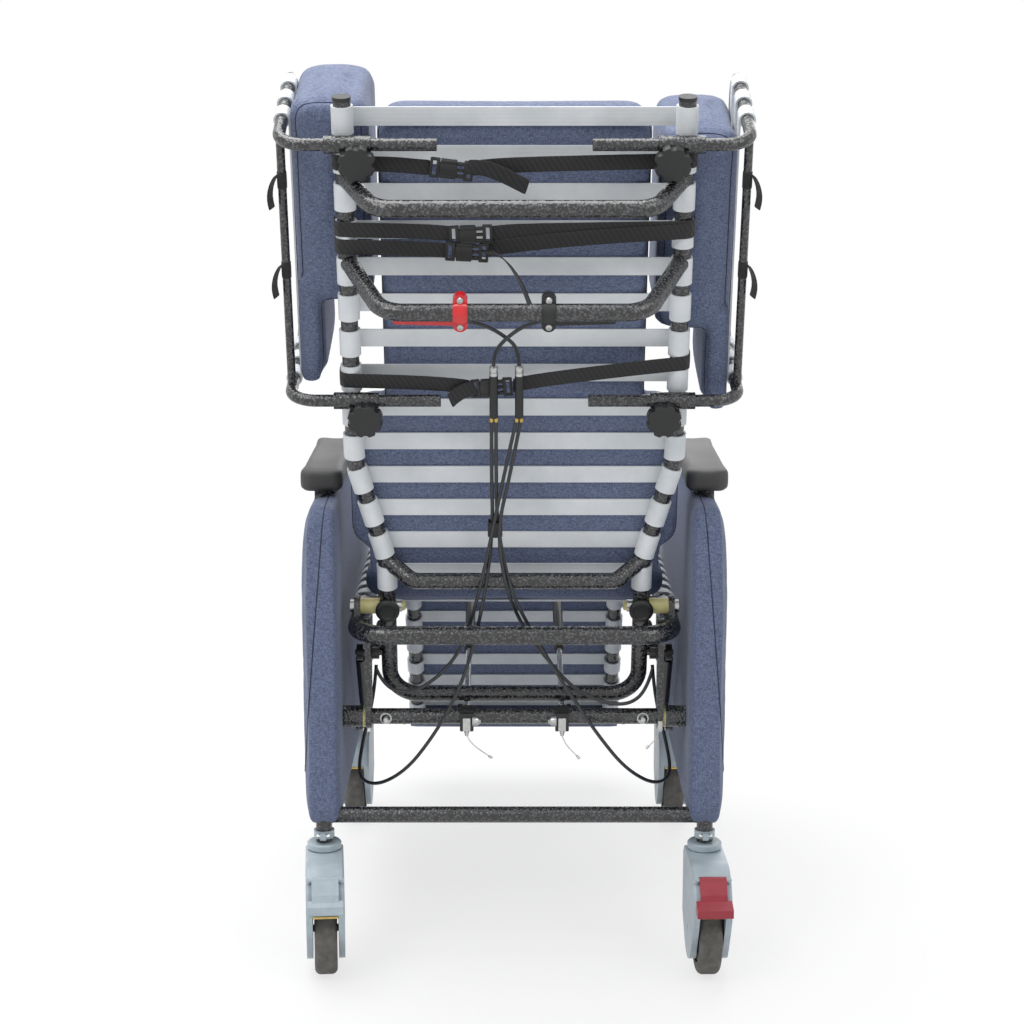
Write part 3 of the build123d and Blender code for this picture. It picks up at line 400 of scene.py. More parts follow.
red_enamel, tree, shader, place = new_finish(
    "red_enamel", Roughness=0.22, Coat_Weight=0.4, Coat_Roughness=0.08)
pooled = put(tree, "ShaderNodeTexNoise", {"Vector": place, "Scale": 120.0, "Detail": 2.0})
signal_red = put(tree, "ShaderNodeValToRGB", {"Fac": pooled.outputs["Fac"]})
signal_red.color_ramp.elements[0].color = linear("#c31418")
signal_red.color_ramp.elements[1].color = linear("#e8262b")
tree.links.new(signal_red.outputs["Color"], shader.inputs["Base Color"])
dress(red_enamel, "red_lever_clamp", "red_lever")

webbing, tree, shader, place = new_finish("black_polyester_webbing", Roughness=0.7, Sheen_Weight=0.15)
pick_mm = 2.6
warp = put(tree, "ShaderNodeMapping", {"Vector": place, "Rotation": (0, 0, 0.6)})
herringbone = put(
    tree,
    "ShaderNodeTexWave",
    {"Vector": warp.outputs["Vector"], "Scale": 1000 / pick_mm / 6.283, "Distortion": 0.6},
    bands_direction="DIAGONAL",
)
yarn = put(tree, "ShaderNodeValToRGB", {"Fac": herringbone.outputs["Fac"]})
yarn.color_ramp.elements[0].color = linear("#0d0d0e")
yarn.color_ramp.elements[1].color = linear("#1f1f22")
tree.links.new(yarn.outputs["Color"], shader.inputs["Base Color"])
woven = put(
    tree,
    "ShaderNodeBump",
    {"Height": herringbone.outputs["Fac"], "Strength": 0.5, "Distance": 0.0005},
)
tree.links.new(woven.outputs["Normal"], shader.inputs["Normal"])
dress(webbing, "back_webbing")

# Small fittings on the back: zinc screws on the two lever clamps, zinc adjusters and brass crimps on
# the cable splitters, a black cap over each hinge and yellow nylon ends on the hinge nuts.
brass, tree, shader, place = new_finish("brass", Metallic=1.0, Roughness=0.34)
tarnish = put(tree, "ShaderNodeTexNoise", {"Vector": place, "Scale": 150.0, "Detail": 3.0})
gilt = put(tree, "ShaderNodeValToRGB", {"Fac": tarnish.outputs["Fac"]})
gilt.color_ramp.elements[0].color = linear("#a98a46")
gilt.color_ramp.elements[1].color = linear("#d8c07c")
tree.links.new(gilt.outputs["Color"], shader.inputs["Base Color"])


def fitting(name, shape, finish, body):
    bmesh.ops.remove_doubles(shape, verts=shape.verts, dist=1e-6)
    bmesh.ops.recalc_face_normals(shape, faces=shape.faces)
    mesh = bpy.data.meshes.new(name)
    shape.to_mesh(mesh)
    shape.free()
    mesh.materials.append(finish)
    mesh.polygons.foreach_set("use_smooth", [True] * len(mesh.polygons))
    mesh.set_sharp_from_angle(angle=math.radians(38))
    made = bpy.data.objects.new(name, mesh)
    bpy.context.collection.objects.link(made)
    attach(made, body)
    return made


# outline: pairs of run along the axis and radius, in mm
def turned(shape, start, axis, outline, sides=20):
    axis = Vector(axis).normalized()
    out = axis.orthogonal().normalized()
    spots = [shape.verts.new(start + (axis * run + out * r) / 1000) for run, r in outline]
    line = [shape.edges.new(pair) for pair in zip(spots, spots[1:])]
    bmesh.ops.spin(
        shape, geom=spots + line, cent=start, axis=axis, angle=math.tau, steps=sides, use_merge=True)


def block(shape, place, size, round_mm):
    cube = bmesh.ops.create_cube(shape, size=1)["verts"]
    bmesh.ops.scale(shape, vec=Vector(size) / 1000, verts=cube)
    rims = list({edge for spot in cube for edge in spot.link_edges})
    rounded = bmesh.ops.bevel(
        shape, geom=rims, offset=round_mm / 1000, segments=2, profile=0.5, affect="EDGES", material=-1)
    bmesh.ops.transform(shape, matrix=place, verts=rounded["verts"])


push_bar_up, clamp_face = 482, 124
for clamp_x, word in ((-67, "red"), (42, "black")):
    shape = bmesh.new()
    for up in (push_bar_up + 17.5, push_bar_up - 17.5):
        turned(
            shape,
            on_back(clamp_x, up, clamp_face - 0.6),
            back_rear,
            [(0, 0), (0, 4.4), (2.4, 4.4), (3.5, 3.6), (3.8, 2.4), (1.9, 2.1), (1.9, 0)],
        )
    fitting(word + "_clamp_screws", shape, zinc, "backrest")

split_rear, neck_low, split_low = 33, 360, 300
shape = bmesh.new()
for x in (split_left, split_right):
    turned(
        shape,
        on_back(x, neck_low, split_rear),
        back_up,
        [(0, 0), (0, 5.8), (4.6, 5.8), (5, 5), (7.2, 5), (7.6, 5.8), (11.8, 5.8), (12.6, 4.6),
         (13.6, 3.3), (13.6, 0)],
        12,
    )
fitting("splitter_adjusters", shape, zinc, "backrest")
shape = bmesh.new()
for x in (split_left - 3, split_left + 3, split_right - 3, split_right + 3):
    turned(
        shape,
        on_back(x, split_low + 0.5, split_rear),
        -back_up,
        [(0, 0), (0, 2.95), (5.6, 2.95), (6.4, 2.65), (6.4, 0)],
        14,
    )
fitting("splitter_crimps", shape, brass, "backrest")

hinge_tube_x, nut_end_x = 174, 155
shape = bmesh.new()
for side in (-1, 1):
    turned(
        shape,
        on_back(side * hinge_tube_x, 0, 9),
        back_rear,
        [(0, 0), (0, 15), (4, 16.6), (7.4, 16.6), (9, 15.2), (9.8, 11.4), (8.8, 10.6), (8.8, 0)],
        30,
    )
fitting("hinge_caps", shape, moulded, "backrest")
shape = bmesh.new()
for side in (-1, 1):
    turned(
        shape,
        at(side * nut_end_x, 60, 493),
        (-side, 0, 0),
        [(0, 0), (0, 6.6), (3.4, 6.6), (5.4, 4.8), (6.2, 0)],
        18,
    )
fitting("hinge_nut_ends", shape, nylon, "seat")

# The release heads of the leg springs: each has a black strap round the tilt bar, a zinc clevis with
# an acorn nut, and a short bare end of steel wire below it with a crimped tip.
bar_fwd, bar_z, head_x = 60, 335, 66
straps_shape, clevis_shape = bmesh.new(), bmesh.new()
for side in (-1, 1):
    turned(
        straps_shape,
        at(side * head_x - 9.5, bar_fwd, bar_z),
        (1, 0, 0),
        [(0, 11.15), (0, 14), (19, 14), (19, 11.15), (0, 11.15)],
        28,
    )
    block(straps_shape, Matrix.Translation(at(side * head_x, bar_fwd - 15, bar_z - 4)), (19, 9, 26), 1.6)
    block(clevis_shape, Matrix.Translation(at(side * head_x, bar_fwd - 20.5, bar_z - 6)), (11, 6, 19), 1.2)
    turned(
        clevis_shape,
        at(side * head_x, bar_fwd - 20, bar_z - 14),
        (0, 0, -1),
        [(0, 0), (0, 3.4), (4.5, 3.4), (5, 2.6), (8, 2.6), (8.4, 1.6), (8.4, 0)],
        14,
    )
    turned(
        clevis_shape,
        at(side * (head_x - 8), bar_fwd - 16, bar_z - 2),
        (-side, 0, 0),
        [(0, 0), (0, 8.4), (1.6, 8.4), (1.6, 6.6), (7, 6.6), (9, 5), (11.4, 3.4), (12, 0)],
        12,
    )
    turned(
        clevis_shape,
        at(side * 178, bar_fwd - 10.4, bar_z),
        (0, -1, 0),
        [(0, 0), (0, 8.2), (1.6, 8.2), (1.6, 6.4), (6, 6.4), (8, 4.8), (10, 3.2), (10.4, 0)],
        12,
    )
block(clevis_shape, Matrix.Translation(at(202, bar_fwd - 18, bar_z - 8)), (7, 7, 14), 1)
fitting("release_straps", straps_shape, satin_paint, "seat")
fitting("release_clevises", clevis_shape, zinc, "seat")

wire_d = 0.0016
for word, ends in (
    ("left", [at(-66, 40, 313), at(-61, 37, 304), at(-48, 33, 294), at(-31, 29, 284)]),
    ("right", [at(66, 40, 313), at(69, 37, 304), at(78, 33, 294), at(90, 29, 283)]),
    ("outer", [at(202, 42, 321), at(199, 40, 313), at(192, 37, 304), at(182, 35, 296)]),
):
    wire = route(word + "_release_wire", ends)
    length = reach(centreline(wire))
    wire.data.bevel_depth = wire_d / 2
    wire.data.bevel_resolution = 3
    wire.data.use_fill_caps = True
    wire.data.materials.append(zinc)
    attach(wire, "seat")
    shape = bmesh.new()
    turned(shape, ends[-1], ends[-2] - ends[-1], [(-0.4, 0), (-0.4, 1.7), (5, 1.7), (5.6, 1), (5.6, 0)], 12)
    crimp = fitting(word + "_wire_crimp", shape, zinc, "seat")

# The casters: die-cast forks in blue-grey paint with a matching leg clamp, soft grey tyres on
# plastic hubs, and red or grey moulded brake pedals on the rear pair.
cast_grey, tree, shader, place = new_finish("blue_grey_moulded_nylon", Roughness=0.4)
mottle = put(tree, "ShaderNodeTexNoise", {"Vector": place, "Scale": 40.0, "Detail": 4.0})
slate = put(tree, "ShaderNodeValToRGB", {"Fac": mottle.outputs["Fac"]})
slate.color_ramp.elements[0].position = 0.3
slate.color_ramp.elements[0].color = linear("#a2afb6")
slate.color_ramp.elements[1].position = 0.7
slate.color_ramp.elements[1].color = linear("#b6c2c9")
tree.links.new(slate.outputs["Color"], shader.inputs["Base Color"])
pebble = put(tree, "ShaderNodeTexNoise", {"Vector": place, "Scale": 1100.0, "Detail": 1.0})
pebbled = put(tree, "ShaderNodeBump", {"Height": pebble.outputs["Fac"], "Strength": 0.15, "Distance": 0.0003})
tree.links.new(pebbled.outputs["Normal"], shader.inputs["Normal"])

tyre_rubber, tree, shader, place = new_finish("grey_tyre_rubber", Roughness=0.75)
dust = put(tree, "ShaderNodeTexNoise", {"Vector": place, "Scale": 70.0, "Detail": 5.0, "Roughness": 0.65})
worn = put(tree, "ShaderNodeValToRGB", {"Fac": dust.outputs["Fac"]})
worn.color_ramp.elements[0].position = 0.3
worn.color_ramp.elements[0].color = linear("#4a4845")
worn.color_ramp.elements[1].position = 0.75
worn.color_ramp.elements[1].color = linear("#726f6a")
tree.links.new(worn.outputs["Color"], shader.inputs["Base Color"])

red_nylon, tree, shader, place = new_finish("red_moulded_nylon", Roughness=0.42)
chalk = put(tree, "ShaderNodeTexNoise", {"Vector": place, "Scale": 85.0, "Detail": 4.0})
brick = put(tree, "ShaderNodeValToRGB", {"Fac": chalk.outputs["Fac"]})
brick.color_ramp.elements[0].color = linear("#86212d")
brick.color_ramp.elements[1].color = linear("#a83745")
tree.links.new(brick.outputs["Color"], shader.inputs["Base Color"])

corners = ("front_left", "front_right", "rear_left", "rear_right")
for corner in corners:
    dress(cast_grey, corner + "_fork")
    dress(tyre_rubber, corner + "_wheel")
dress(cast_grey, "leg_clamps", "caster_stems", "rear_left_pedal")
dress(red_nylon, "rear_right_pedal")

lip_run, lip_z = -110, 106
for corner, x, fwd, turn in (
    ("front_left", -262, 650, 0),
    ("front_right", 262, 650, 0),
    ("rear_left", -262, 0, 5),
    ("rear_right", 262, 0, 2),
):
    shape = bmesh.new()
    swivel = Matrix.Translation(at(x, fwd, 0)) @ Matrix.Rotation(math.radians(turn), 4, "Z")
    block(shape, swivel @ Matrix.Translation((0, lip_run / 1000, lip_z / 1000)), (34, 7, 3.2), 0.8)
    fitting(corner + "_lip_strip", shape, brass, corner + "_fork")
shape = bmesh.new()
for x in (-262, 262):
    for fwd in (0, 650):
        turned(
            shape,
            at(x - 9, fwd - 17, 186),
            (1, 0, 0),
            [(0, 0), (0, 3.6), (3, 3.6), (3, 2), (15, 2), (15, 3.6), (18, 3.6), (18, 0)],
            6,
        )
fitting("clamp_bolts", shape, zinc, "base")

# The cover cloth of every pad: a coated polyester, heathered blue and grey-blue threads in a plain
# weave. The real threads are about 0.5 mm; they are drawn three times as coarse so that they show.
cover_cloth, tree, shader, place = new_finish(
    "heathered_blue_polyester", Roughness=0.78, Sheen_Weight=0.12, Sheen_Roughness=0.5)
thread_mm = 1.3
across = put(tree, "ShaderNodeMapping", {"Vector": place, "Scale": (0.28, 0.28, 1.0)})
along = put(tree, "ShaderNodeMapping", {"Vector": place, "Scale": (1.0, 1.0, 0.28)})
fineness = {"Scale": 1000 / thread_mm, "Detail": 2.0}
weft = put(tree, "ShaderNodeTexNoise", {"Vector": across.outputs["Vector"], **fineness})
warp = put(tree, "ShaderNodeTexNoise", {"Vector": along.outputs["Vector"], **fineness})
threads = put(tree, "ShaderNodeMath", {0: weft.outputs["Fac"], 1: warp.outputs["Fac"]}, operation="ADD")
heather = put(tree, "ShaderNodeMapRange", {"Value": threads.outputs[0], "From Min": 0.72, "From Max": 1.28})
blues = put(tree, "ShaderNodeValToRGB", {"Fac": heather.outputs["Result"]})
blues.color_ramp.elements[0].color = linear("#444e6a")
blues.color_ramp.elements[1].color = linear("#727d99")
shade = put(tree, "ShaderNodeTexNoise", {"Vector": place, "Scale": 7.0, "Detail": 3.0})
handled = put(tree, "ShaderNodeMapRange", {"Value": shade.outputs["Fac"], "To Min": 0.9, "To Max": 1.08})
cloth_colour = put(
    tree,
    "ShaderNodeVectorMath",
    {0: blues.outputs["Color"], "Scale": handled.outputs["Result"]},
    operation="SCALE",
)
tree.links.new(cloth_colour.outputs["Vector"], shader.inputs["Base Color"])
nubs = put(tree, "ShaderNodeBump", {"Height": threads.outputs[0], "Strength": 0.35, "Distance": 0.0006})
tree.links.new(nubs.outputs["Normal"], shader.inputs["Normal"])

seam_thread, tree, shader, place = new_finish("navy_seam_thread", Roughness=0.8)
stitch_mm = 4.0
twist = put(tree, "ShaderNodeTexNoise", {"Vector": place, "Scale": 1000 / stitch_mm, "Detail": 1.0})
navy = put(tree, "ShaderNodeValToRGB", {"Fac": twist.outputs["Fac"]})
navy.color_ramp.elements[0].color = linear("#161b2b")
navy.color_ramp.elements[1].color = linear("#323c58")
tree.links.new(navy.outputs["Color"], shader.inputs["Base Color"])


def settled(piece):
    return bpy.data.meshes.new_from_object(piece.evaluated_get(bpy.context.evaluated_depsgraph_get()))


def stuffed(name, shape, voxel, cap, walls):
    mesh = bpy.data.meshes.new(name)
    shape.to_mesh(mesh)
    shape.free()
    made = bpy.data.objects.new(name, mesh)
    bpy.context.collection.objects.link(made)
    remesh = made.modifiers.new("remesh", "REMESH")
    remesh.mode = "VOXEL"
    remesh.voxel_size = voxel
    skin = settled(made)
    made.modifiers.clear()
    made.data = skin
    skin.name = name
    filling = made.modifiers.new("filling", "CLOTH").settings
    filling.use_pressure = True
    filling.uniform_pressure_force = 4
    filling.quality = 4
    filling.mass = 0.3
    filling.tension_stiffness = 15
    filling.compression_stiffness = 15
    filling.bending_stiffness = 0.8
    filling.effector_weights.gravity = 0
    for step in range(1, 21):
        bpy.context.scene.frame_set(step)
    swollen = settled(made)
    made.modifiers.clear()
    bpy.context.scene.frame_set(1)
    # foam fills the cover: it swells out up to the cap, and is drawn in by 2 mm at most
    give = 0.002
    facing = [spot.normal.copy() for spot in skin.vertices]
    for rest, moved, out in zip(skin.vertices, swollen.vertices, facing):
        move = moved.co - rest.co
        far = max(move.length, 1e-9)
        most = give + (cap - give) * max(0, move.dot(out) / far)
        rest.co += move * min(1, most / far)
    bpy.data.meshes.remove(swollen)
    for spot in skin.vertices:
        for point, out in walls:
            past = (spot.co - point).dot(out)
            if past > 0:
                spot.co -= out * past
    return made


def drawn_in(piece, point, out, depth, spread, side=None):
    facing = [spot.normal.copy() for spot in piece.data.vertices]
    for spot, normal in zip(piece.data.vertices, facing):
        if side is None or normal.dot(side) > 0.35:
            away = (spot.co - point).dot(out) / spread
            if abs(away) < 3:
                spot.co -= normal * depth * math.exp(-away * away)


def seam(name, piece, point, out, thick, body):
    shape = bmesh.new()
    shape.from_mesh(piece.data)
    whole = shape.verts[:] + shape.edges[:] + shape.faces[:]
    cut = bmesh.ops.bisect_plane(shape, geom=whole, plane_co=point, plane_no=out)
    cut_edges = {e for e in cut["geom_cut"] if isinstance(e, bmesh.types.BMEdge)}
    line = bpy.data.curves.new(name, "CURVE")
    line.dimensions = "3D"
    while cut_edges:
        edge = cut_edges.pop()
        chain = [edge.verts[0], edge.verts[1]]
        while True:
            onward = [e for e in chain[-1].link_edges if e in cut_edges]
            if not onward:
                break
            cut_edges.remove(onward[0])
            chain.append(onward[0].other_vert(chain[-1]))
        spline = line.splines.new("POLY")
        spots = [v.co for v in chain[::2]]
        spline.points.add(len(spots) - 1)
        for spot, co in zip(spline.points, spots):
            spot.co = (*co, 1)
        spline.use_cyclic_u = True
    shape.free()
    line.bevel_depth = thick / 2
    line.bevel_resolution = 1
    loose = bpy.data.objects.new(name, line)
    bpy.context.collection.objects.link(loose)
    mesh = settled(loose)
    bpy.data.objects.remove(loose)
    mesh.materials.clear()
    mesh.materials.append(seam_thread)
    mesh.polygons.foreach_set("use_smooth", [True] * len(mesh.polygons))
    made = bpy.data.objects.new(name, mesh)
    bpy.context.collection.objects.link(made)
    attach(made, body)


def cover(piece, body, node):
    piece.data.materials.clear()
    piece.data.materials.append(cover_cloth)
    piece.data.polygons.foreach_set("use_smooth", [True] * len(piece.data.polygons))
    round_off = piece.modifiers.new("round_off", "SUBSURF")
    round_off.levels = round_off.render_levels = 1
    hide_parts(node)
    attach(piece, body)


# The side panels: foam pads sewn into a cloth cover that slips down over each side frame. The cover
# has a boxing strip all round, joined to the outer face by a plain seam, and it narrows to the top.
for side, hand in ((-1, "left"), (1, "right")):
    low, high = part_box("side_panel_" + hand)
    middle = (low + high) / 2
    shape = bmesh.new()
    bmesh.ops.create_cube(shape, size=1)
    bmesh.ops.scale(shape, vec=high - low + Vector((-0.005, 0.004, 0.002)), verts=shape.verts)
    bmesh.ops.translate(shape, vec=middle, verts=shape.verts)
    upright = [e for e in shape.edges if abs(e.verts[0].co.x - e.verts[1].co.x) > 0.01]
    bmesh.ops.bevel(shape, geom=upright, offset=0.034, segments=6, profile=0.5, affect="EDGES", material=-1)
    for below_top in (0.12, 0.06):
        whole = shape.verts[:] + shape.edges[:] + shape.faces[:]
        level = (0, 0, high.z - below_top)
        bmesh.ops.bisect_plane(shape, geom=whole, plane_co=level, plane_no=(0, 0, 1))
    taper_from = high.z - 0.13
    for spot in shape.verts:
        if spot.co.z > taper_from and side * spot.co.x > side * middle.x:
            spot.co.x -= side * 0.05 * (spot.co.z - taper_from)
    bmesh.ops.recalc_face_normals(shape, faces=shape.faces)
    inner_face = Vector((side * 0.238, 0, 0))
    panel = stuffed("side_panel_pad_" + hand, shape, 0.006, 0.008, [
        (inner_face, Vector((-side, 0, 0))),
        (low, Vector((0, 0, -1))),
        (high + Vector((0, 0, 0.003)), Vector((0, 0, 1))),
    ])
    seam_at = Vector((side * 0.274, 0, 0.42))
    lean_in = Vector((side, 0, 0.09)).normalized()
    drawn_in(panel, seam_at, lean_in, 0.0016, 0.006)
    cover(panel, "base", "side_panel_" + hand)
    seam("side_panel_seam_" + hand, panel, seam_at, lean_in, 0.0018, "base")

# The seat cushion: a block of foam in a boxed cover, crowned on top and flat on its straps. Two sewn channels
# run across it, and a seam goes round its upper and its lower edge; only the upper seam is drawn.
def from_node(name, inset):
    shape = bmesh.new()
    shape.from_mesh(nodes[name].data)
    bmesh.ops.remove_doubles(shape, verts=shape.verts, dist=1e-5)
    low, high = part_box(name)
    size = high - low
    middle = (low + high) / 2
    shrink = Vector([(s - 2 * inset) / s for s in size])
    bmesh.ops.scale(shape, vec=shrink, verts=shape.verts, space=Matrix.Translation(-middle))
    return shape, low, high


shape, low, high = from_node("seat_cushion", 0.009)
crown = Vector((0, 0, 0.012))
seat = stuffed("seat_pad", shape, 0.006, 0.022, [
    (low, Vector((0, 0, -1))),
    (high + crown, Vector((0, 0, 1))),
])
for share in (0.36, 0.68):
    line = Vector((0, low.y + share * (high.y - low.y), 0))
    drawn_in(seat, line, Vector((0, 1, 0)), 0.009, 0.012, Vector((0, 0, 1)))
cover(seat, "seat", "seat_cushion")
seam("seat_pad_seam", seat, Vector((0, 0, high.z - 0.014)), Vector((0, 0, 1)), 0.0018, "seat")

# The back cushion: a tall pad strapped to the front of the back straps. Its cover has four sewn
# channels across the front, and it is flat behind, where the straps bear on it.
shape, low, high = from_node("back_cushion", 0.002)
front_side = -back_rear
back_pad = stuffed("back_pad", shape, 0.006, 0.016, [
    (on_back(0, 0, -14.2), back_rear),
    (on_back(0, 0, -112), front_side),
])
# the pad keeps between the wing pads above its shoulders and between the side panels below them
shoulder_up, shoulder_x, wing_gap_x = 0.299, 0.2295, 0.1825
for spot in back_pad.data.vertices:
    up = (spot.co - hinge).dot(back_up)
    if abs(spot.co.x) > wing_gap_x and up < shoulder_up + 0.012:
        spot.co -= back_up * max(0, up - shoulder_up)
        most = shoulder_x
    else:
        most = wing_gap_x if up > shoulder_up else shoulder_x
    spot.co.x = max(-most, min(most, spot.co.x))
for height in (190, 322, 454, 586):
    drawn_in(back_pad, on_back(0, height, 0), back_up, 0.010, 0.013, front_side)
cover(back_pad, "backrest", "back_cushion")
seam("back_pad_seam", back_pad, on_back(0, 0, -28), back_rear, 0.0018, "backrest")

# The calf cushion of the leg rest: a thinner pad of the same make, flat behind on its straps.
hang = math.radians(29.6)
leg_hinge = at(0, 560, 466)
leg_down = Vector((0, math.sin(hang), -math.cos(hang)))
leg_front = Vector((0, math.cos(hang), math.sin(hang)))
shape, low, high = from_node("calf_cushion", 0.006)
calf_straps = leg_hinge + leg_front * 0.0143
calf_pad = stuffed("calf_pad", shape, 0.006, 0.014, [(calf_straps, -leg_front)])
for share in (150, 276):
    drawn_in(calf_pad, leg_hinge + leg_down * share / 1000, leg_down, 0.006, 0.011, leg_front)
cover(calf_pad, "legrest", "calf_cushion")

# The wing pads: deep side bolsters with a thinner tongue below, each strapped inside its wing frame.
# A seam runs down the rear and the front edge of the cover.
for side, hand in ((-1, "left"), (1, "right")):
    shape, low, high = from_node(hand + "_wing_pad", 0.001)
    outer, inner = Vector((side * 0.2815, 0, 0)), Vector((side * 0.1835, 0, 0))
    bolster = stuffed(hand + "_wing_bolster", shape, 0.005, 0.005, [
        (outer, Vector((side, 0, 0))), (inner, Vector((-side, 0, 0)))])
    for rear in (-32, -202):
        drawn_in(bolster, on_back(0, 0, rear), back_rear, 0.0014, 0.005)
    cover(bolster, hand + "_wing", hand + "_wing_pad")
    for rear, word in ((-32, "rear"), (-202, "front")):
        seam(f"{hand}_wing_{word}_seam", bolster, on_back(0, 0, rear), back_rear, 0.0017, hand + "_wing")

# The arm pads: self-skinning dark grey foam moulded over a plate, with a fine leather-like grain and
# a rounded top edge, paler where elbows rub.
foam_skin, tree, shader, place = new_finish("moulded_polyurethane_skin", Roughness=0.62)
grain_mm = 2.2
grain = put(
    tree,
    "ShaderNodeTexVoronoi",
    {"Vector": place, "Scale": 1000 / grain_mm},
    feature="DISTANCE_TO_EDGE",
)
elbow = put(tree, "ShaderNodeTexNoise", {"Vector": place, "Scale": 9.0, "Detail": 3.0})
charcoal = put(tree, "ShaderNodeValToRGB", {"Fac": elbow.outputs["Fac"]})
charcoal.color_ramp.elements[0].position = 0.3
charcoal.color_ramp.elements[0].color = linear("#3d3d3d")
charcoal.color_ramp.elements[1].position = 0.7
charcoal.color_ramp.elements[1].color = linear("#565554")
tree.links.new(charcoal.outputs["Color"], shader.inputs["Base Color"])
creases = put(
    tree,
    "ShaderNodeBump",
    {"Height": grain.outputs["Distance"], "Strength": 0.3, "Distance": 0.0006},
)
tree.links.new(creases.outputs["Normal"], shader.inputs["Normal"])
low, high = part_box("arm_pads")
pad_w, dish = 0.062, 0.0045
for side, hand in ((-1, "left"), (1, "right")):
    pad_low, pad_high = low.copy(), high.copy()
    if side < 0:
        pad_high.x = low.x + pad_w
    else:
        pad_low.x = high.x - pad_w
    middle, size = (pad_low + pad_high) / 2, pad_high - pad_low
    shape = bmesh.new()
    bmesh.ops.create_cube(shape, size=1)
    bmesh.ops.scale(shape, vec=size - Vector((0.003, 0.003, 0.001)), verts=shape.verts)
    bmesh.ops.translate(shape, vec=middle, verts=shape.verts)
    corners_down = [e for e in shape.edges if abs(e.verts[0].co.z - e.verts[1].co.z) > 0.01]
    bmesh.ops.bevel(
        shape, geom=corners_down, offset=0.015, segments=5, profile=0.5, affect="EDGES", material=-1)
    rims = [e for e in shape.edges if len({abs(f.normal.z) < 0.5 for f in e.link_faces}) == 2]
    bmesh.ops.bevel(shape, geom=rims, offset=0.008, segments=3, profile=0.5, affect="EDGES", material=-1)
    arm_pad = stuffed("arm_pad_" + hand, shape, 0.004, 0.002, [])
    for spot in arm_pad.data.vertices:
        off = (spot.co.x - middle.x) / (size.x / 2)
        if spot.co.z > middle.z:
            spot.co.z -= dish * max(0, 1 - off * off) * (spot.co.z - middle.z) / (size.z / 2)
    arm_pad.data.materials.clear()
    arm_pad.data.materials.append(foam_skin)
    arm_pad.data.polygons.foreach_set("use_smooth", [True] * len(arm_pad.data.polygons))
    round_off = arm_pad.modifiers.new("round_off", "SUBSURF")
    round_off.levels = round_off.render_levels = 1
    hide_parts("arm_pads")
    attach(arm_pad, "base")
    shape = bmesh.new()
    turned(
        shape,
        at(side * 256, 72, 652),
        (side * 0.62, -0.6, -0.5),
        [(0, 0), (0, 3.2), (12, 3.2), (13, 4.2), (22, 4.2), (24.5, 2.6), (25, 0)],
        14,
    )
    fitting("arm_latch_" + hand, shape, moulded, "base")

# Hook-and-loop ties: short black woven tapes. Two hold each wing pad to the rear rod of its frame and
# end in a loose flag, and one gathers the four cables halfway down the back.
hook_loop, tree, shader, place = new_finish("black_hook_and_loop_tape", Roughness=0.9, Sheen_Weight=0.2)
pile_mm = 1.2
pile = put(tree, "ShaderNodeTexNoise", {"Vector": place, "Scale": 1000 / pile_mm, "Detail": 2.0})
fuzz = put(tree, "ShaderNodeValToRGB", {"Fac": pile.outputs["Fac"]})
fuzz.color_ramp.elements[0].color = linear("#141415")
fuzz.color_ramp.elements[1].color = linear("#2f2f31")
tree.links.new(fuzz.outputs["Color"], shader.inputs["Base Color"])
napped = put(tree, "ShaderNodeBump", {"Height": pile.outputs["Fac"], "Strength": 0.6, "Distance": 0.0006})
tree.links.new(napped.outputs["Normal"], shader.inputs["Normal"])


def tape(name, path, across, width, thick, finish, body):
    shape = bmesh.new()
    half = Vector(across).normalized() * width / 2
    edge = shape.edges.new((shape.verts.new(path[0] - half), shape.verts.new(path[0] + half)))
    for here, there in zip(path, path[1:]):
        grown = bmesh.ops.extrude_edge_only(shape, edges=[edge])["geom"]
        fresh = [part for part in grown if isinstance(part, bmesh.types.BMVert)]
        bmesh.ops.translate(shape, vec=there - here, verts=fresh)
        edge = [e for e in grown if isinstance(e, bmesh.types.BMEdge) and set(e.verts) == set(fresh)][0]
    bmesh.ops.recalc_face_normals(shape, faces=shape.faces)
    bmesh.ops.solidify(shape, geom=shape.faces[:], thickness=thick)
    bmesh.ops.recalc_face_normals(shape, faces=shape.faces)
    mesh = bpy.data.meshes.new(name)
    shape.to_mesh(mesh)
    shape.free()
    mesh.materials.append(finish)
    mesh.polygons.foreach_set("use_smooth", [True] * len(mesh.polygons))
    made = bpy.data.objects.new(name, mesh)
    bpy.context.collection.objects.link(made)
    edges = made.modifiers.new("edges", "BEVEL")
    edges.width = thick * 0.3
    edges.segments = 1
    edges.limit_method = "ANGLE"
    bend = made.modifiers.new("bend", "SUBSURF")
    bend.levels = bend.render_levels = 1
    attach(made, body)
    return made


def round_the_rod(x, up, rear, r):
    turns = 14
    return [
        on_back(x + r * math.cos(step * math.tau / turns), up, rear + r * math.sin(step * math.tau / turns))
        for step in range(turns + 1)
    ]


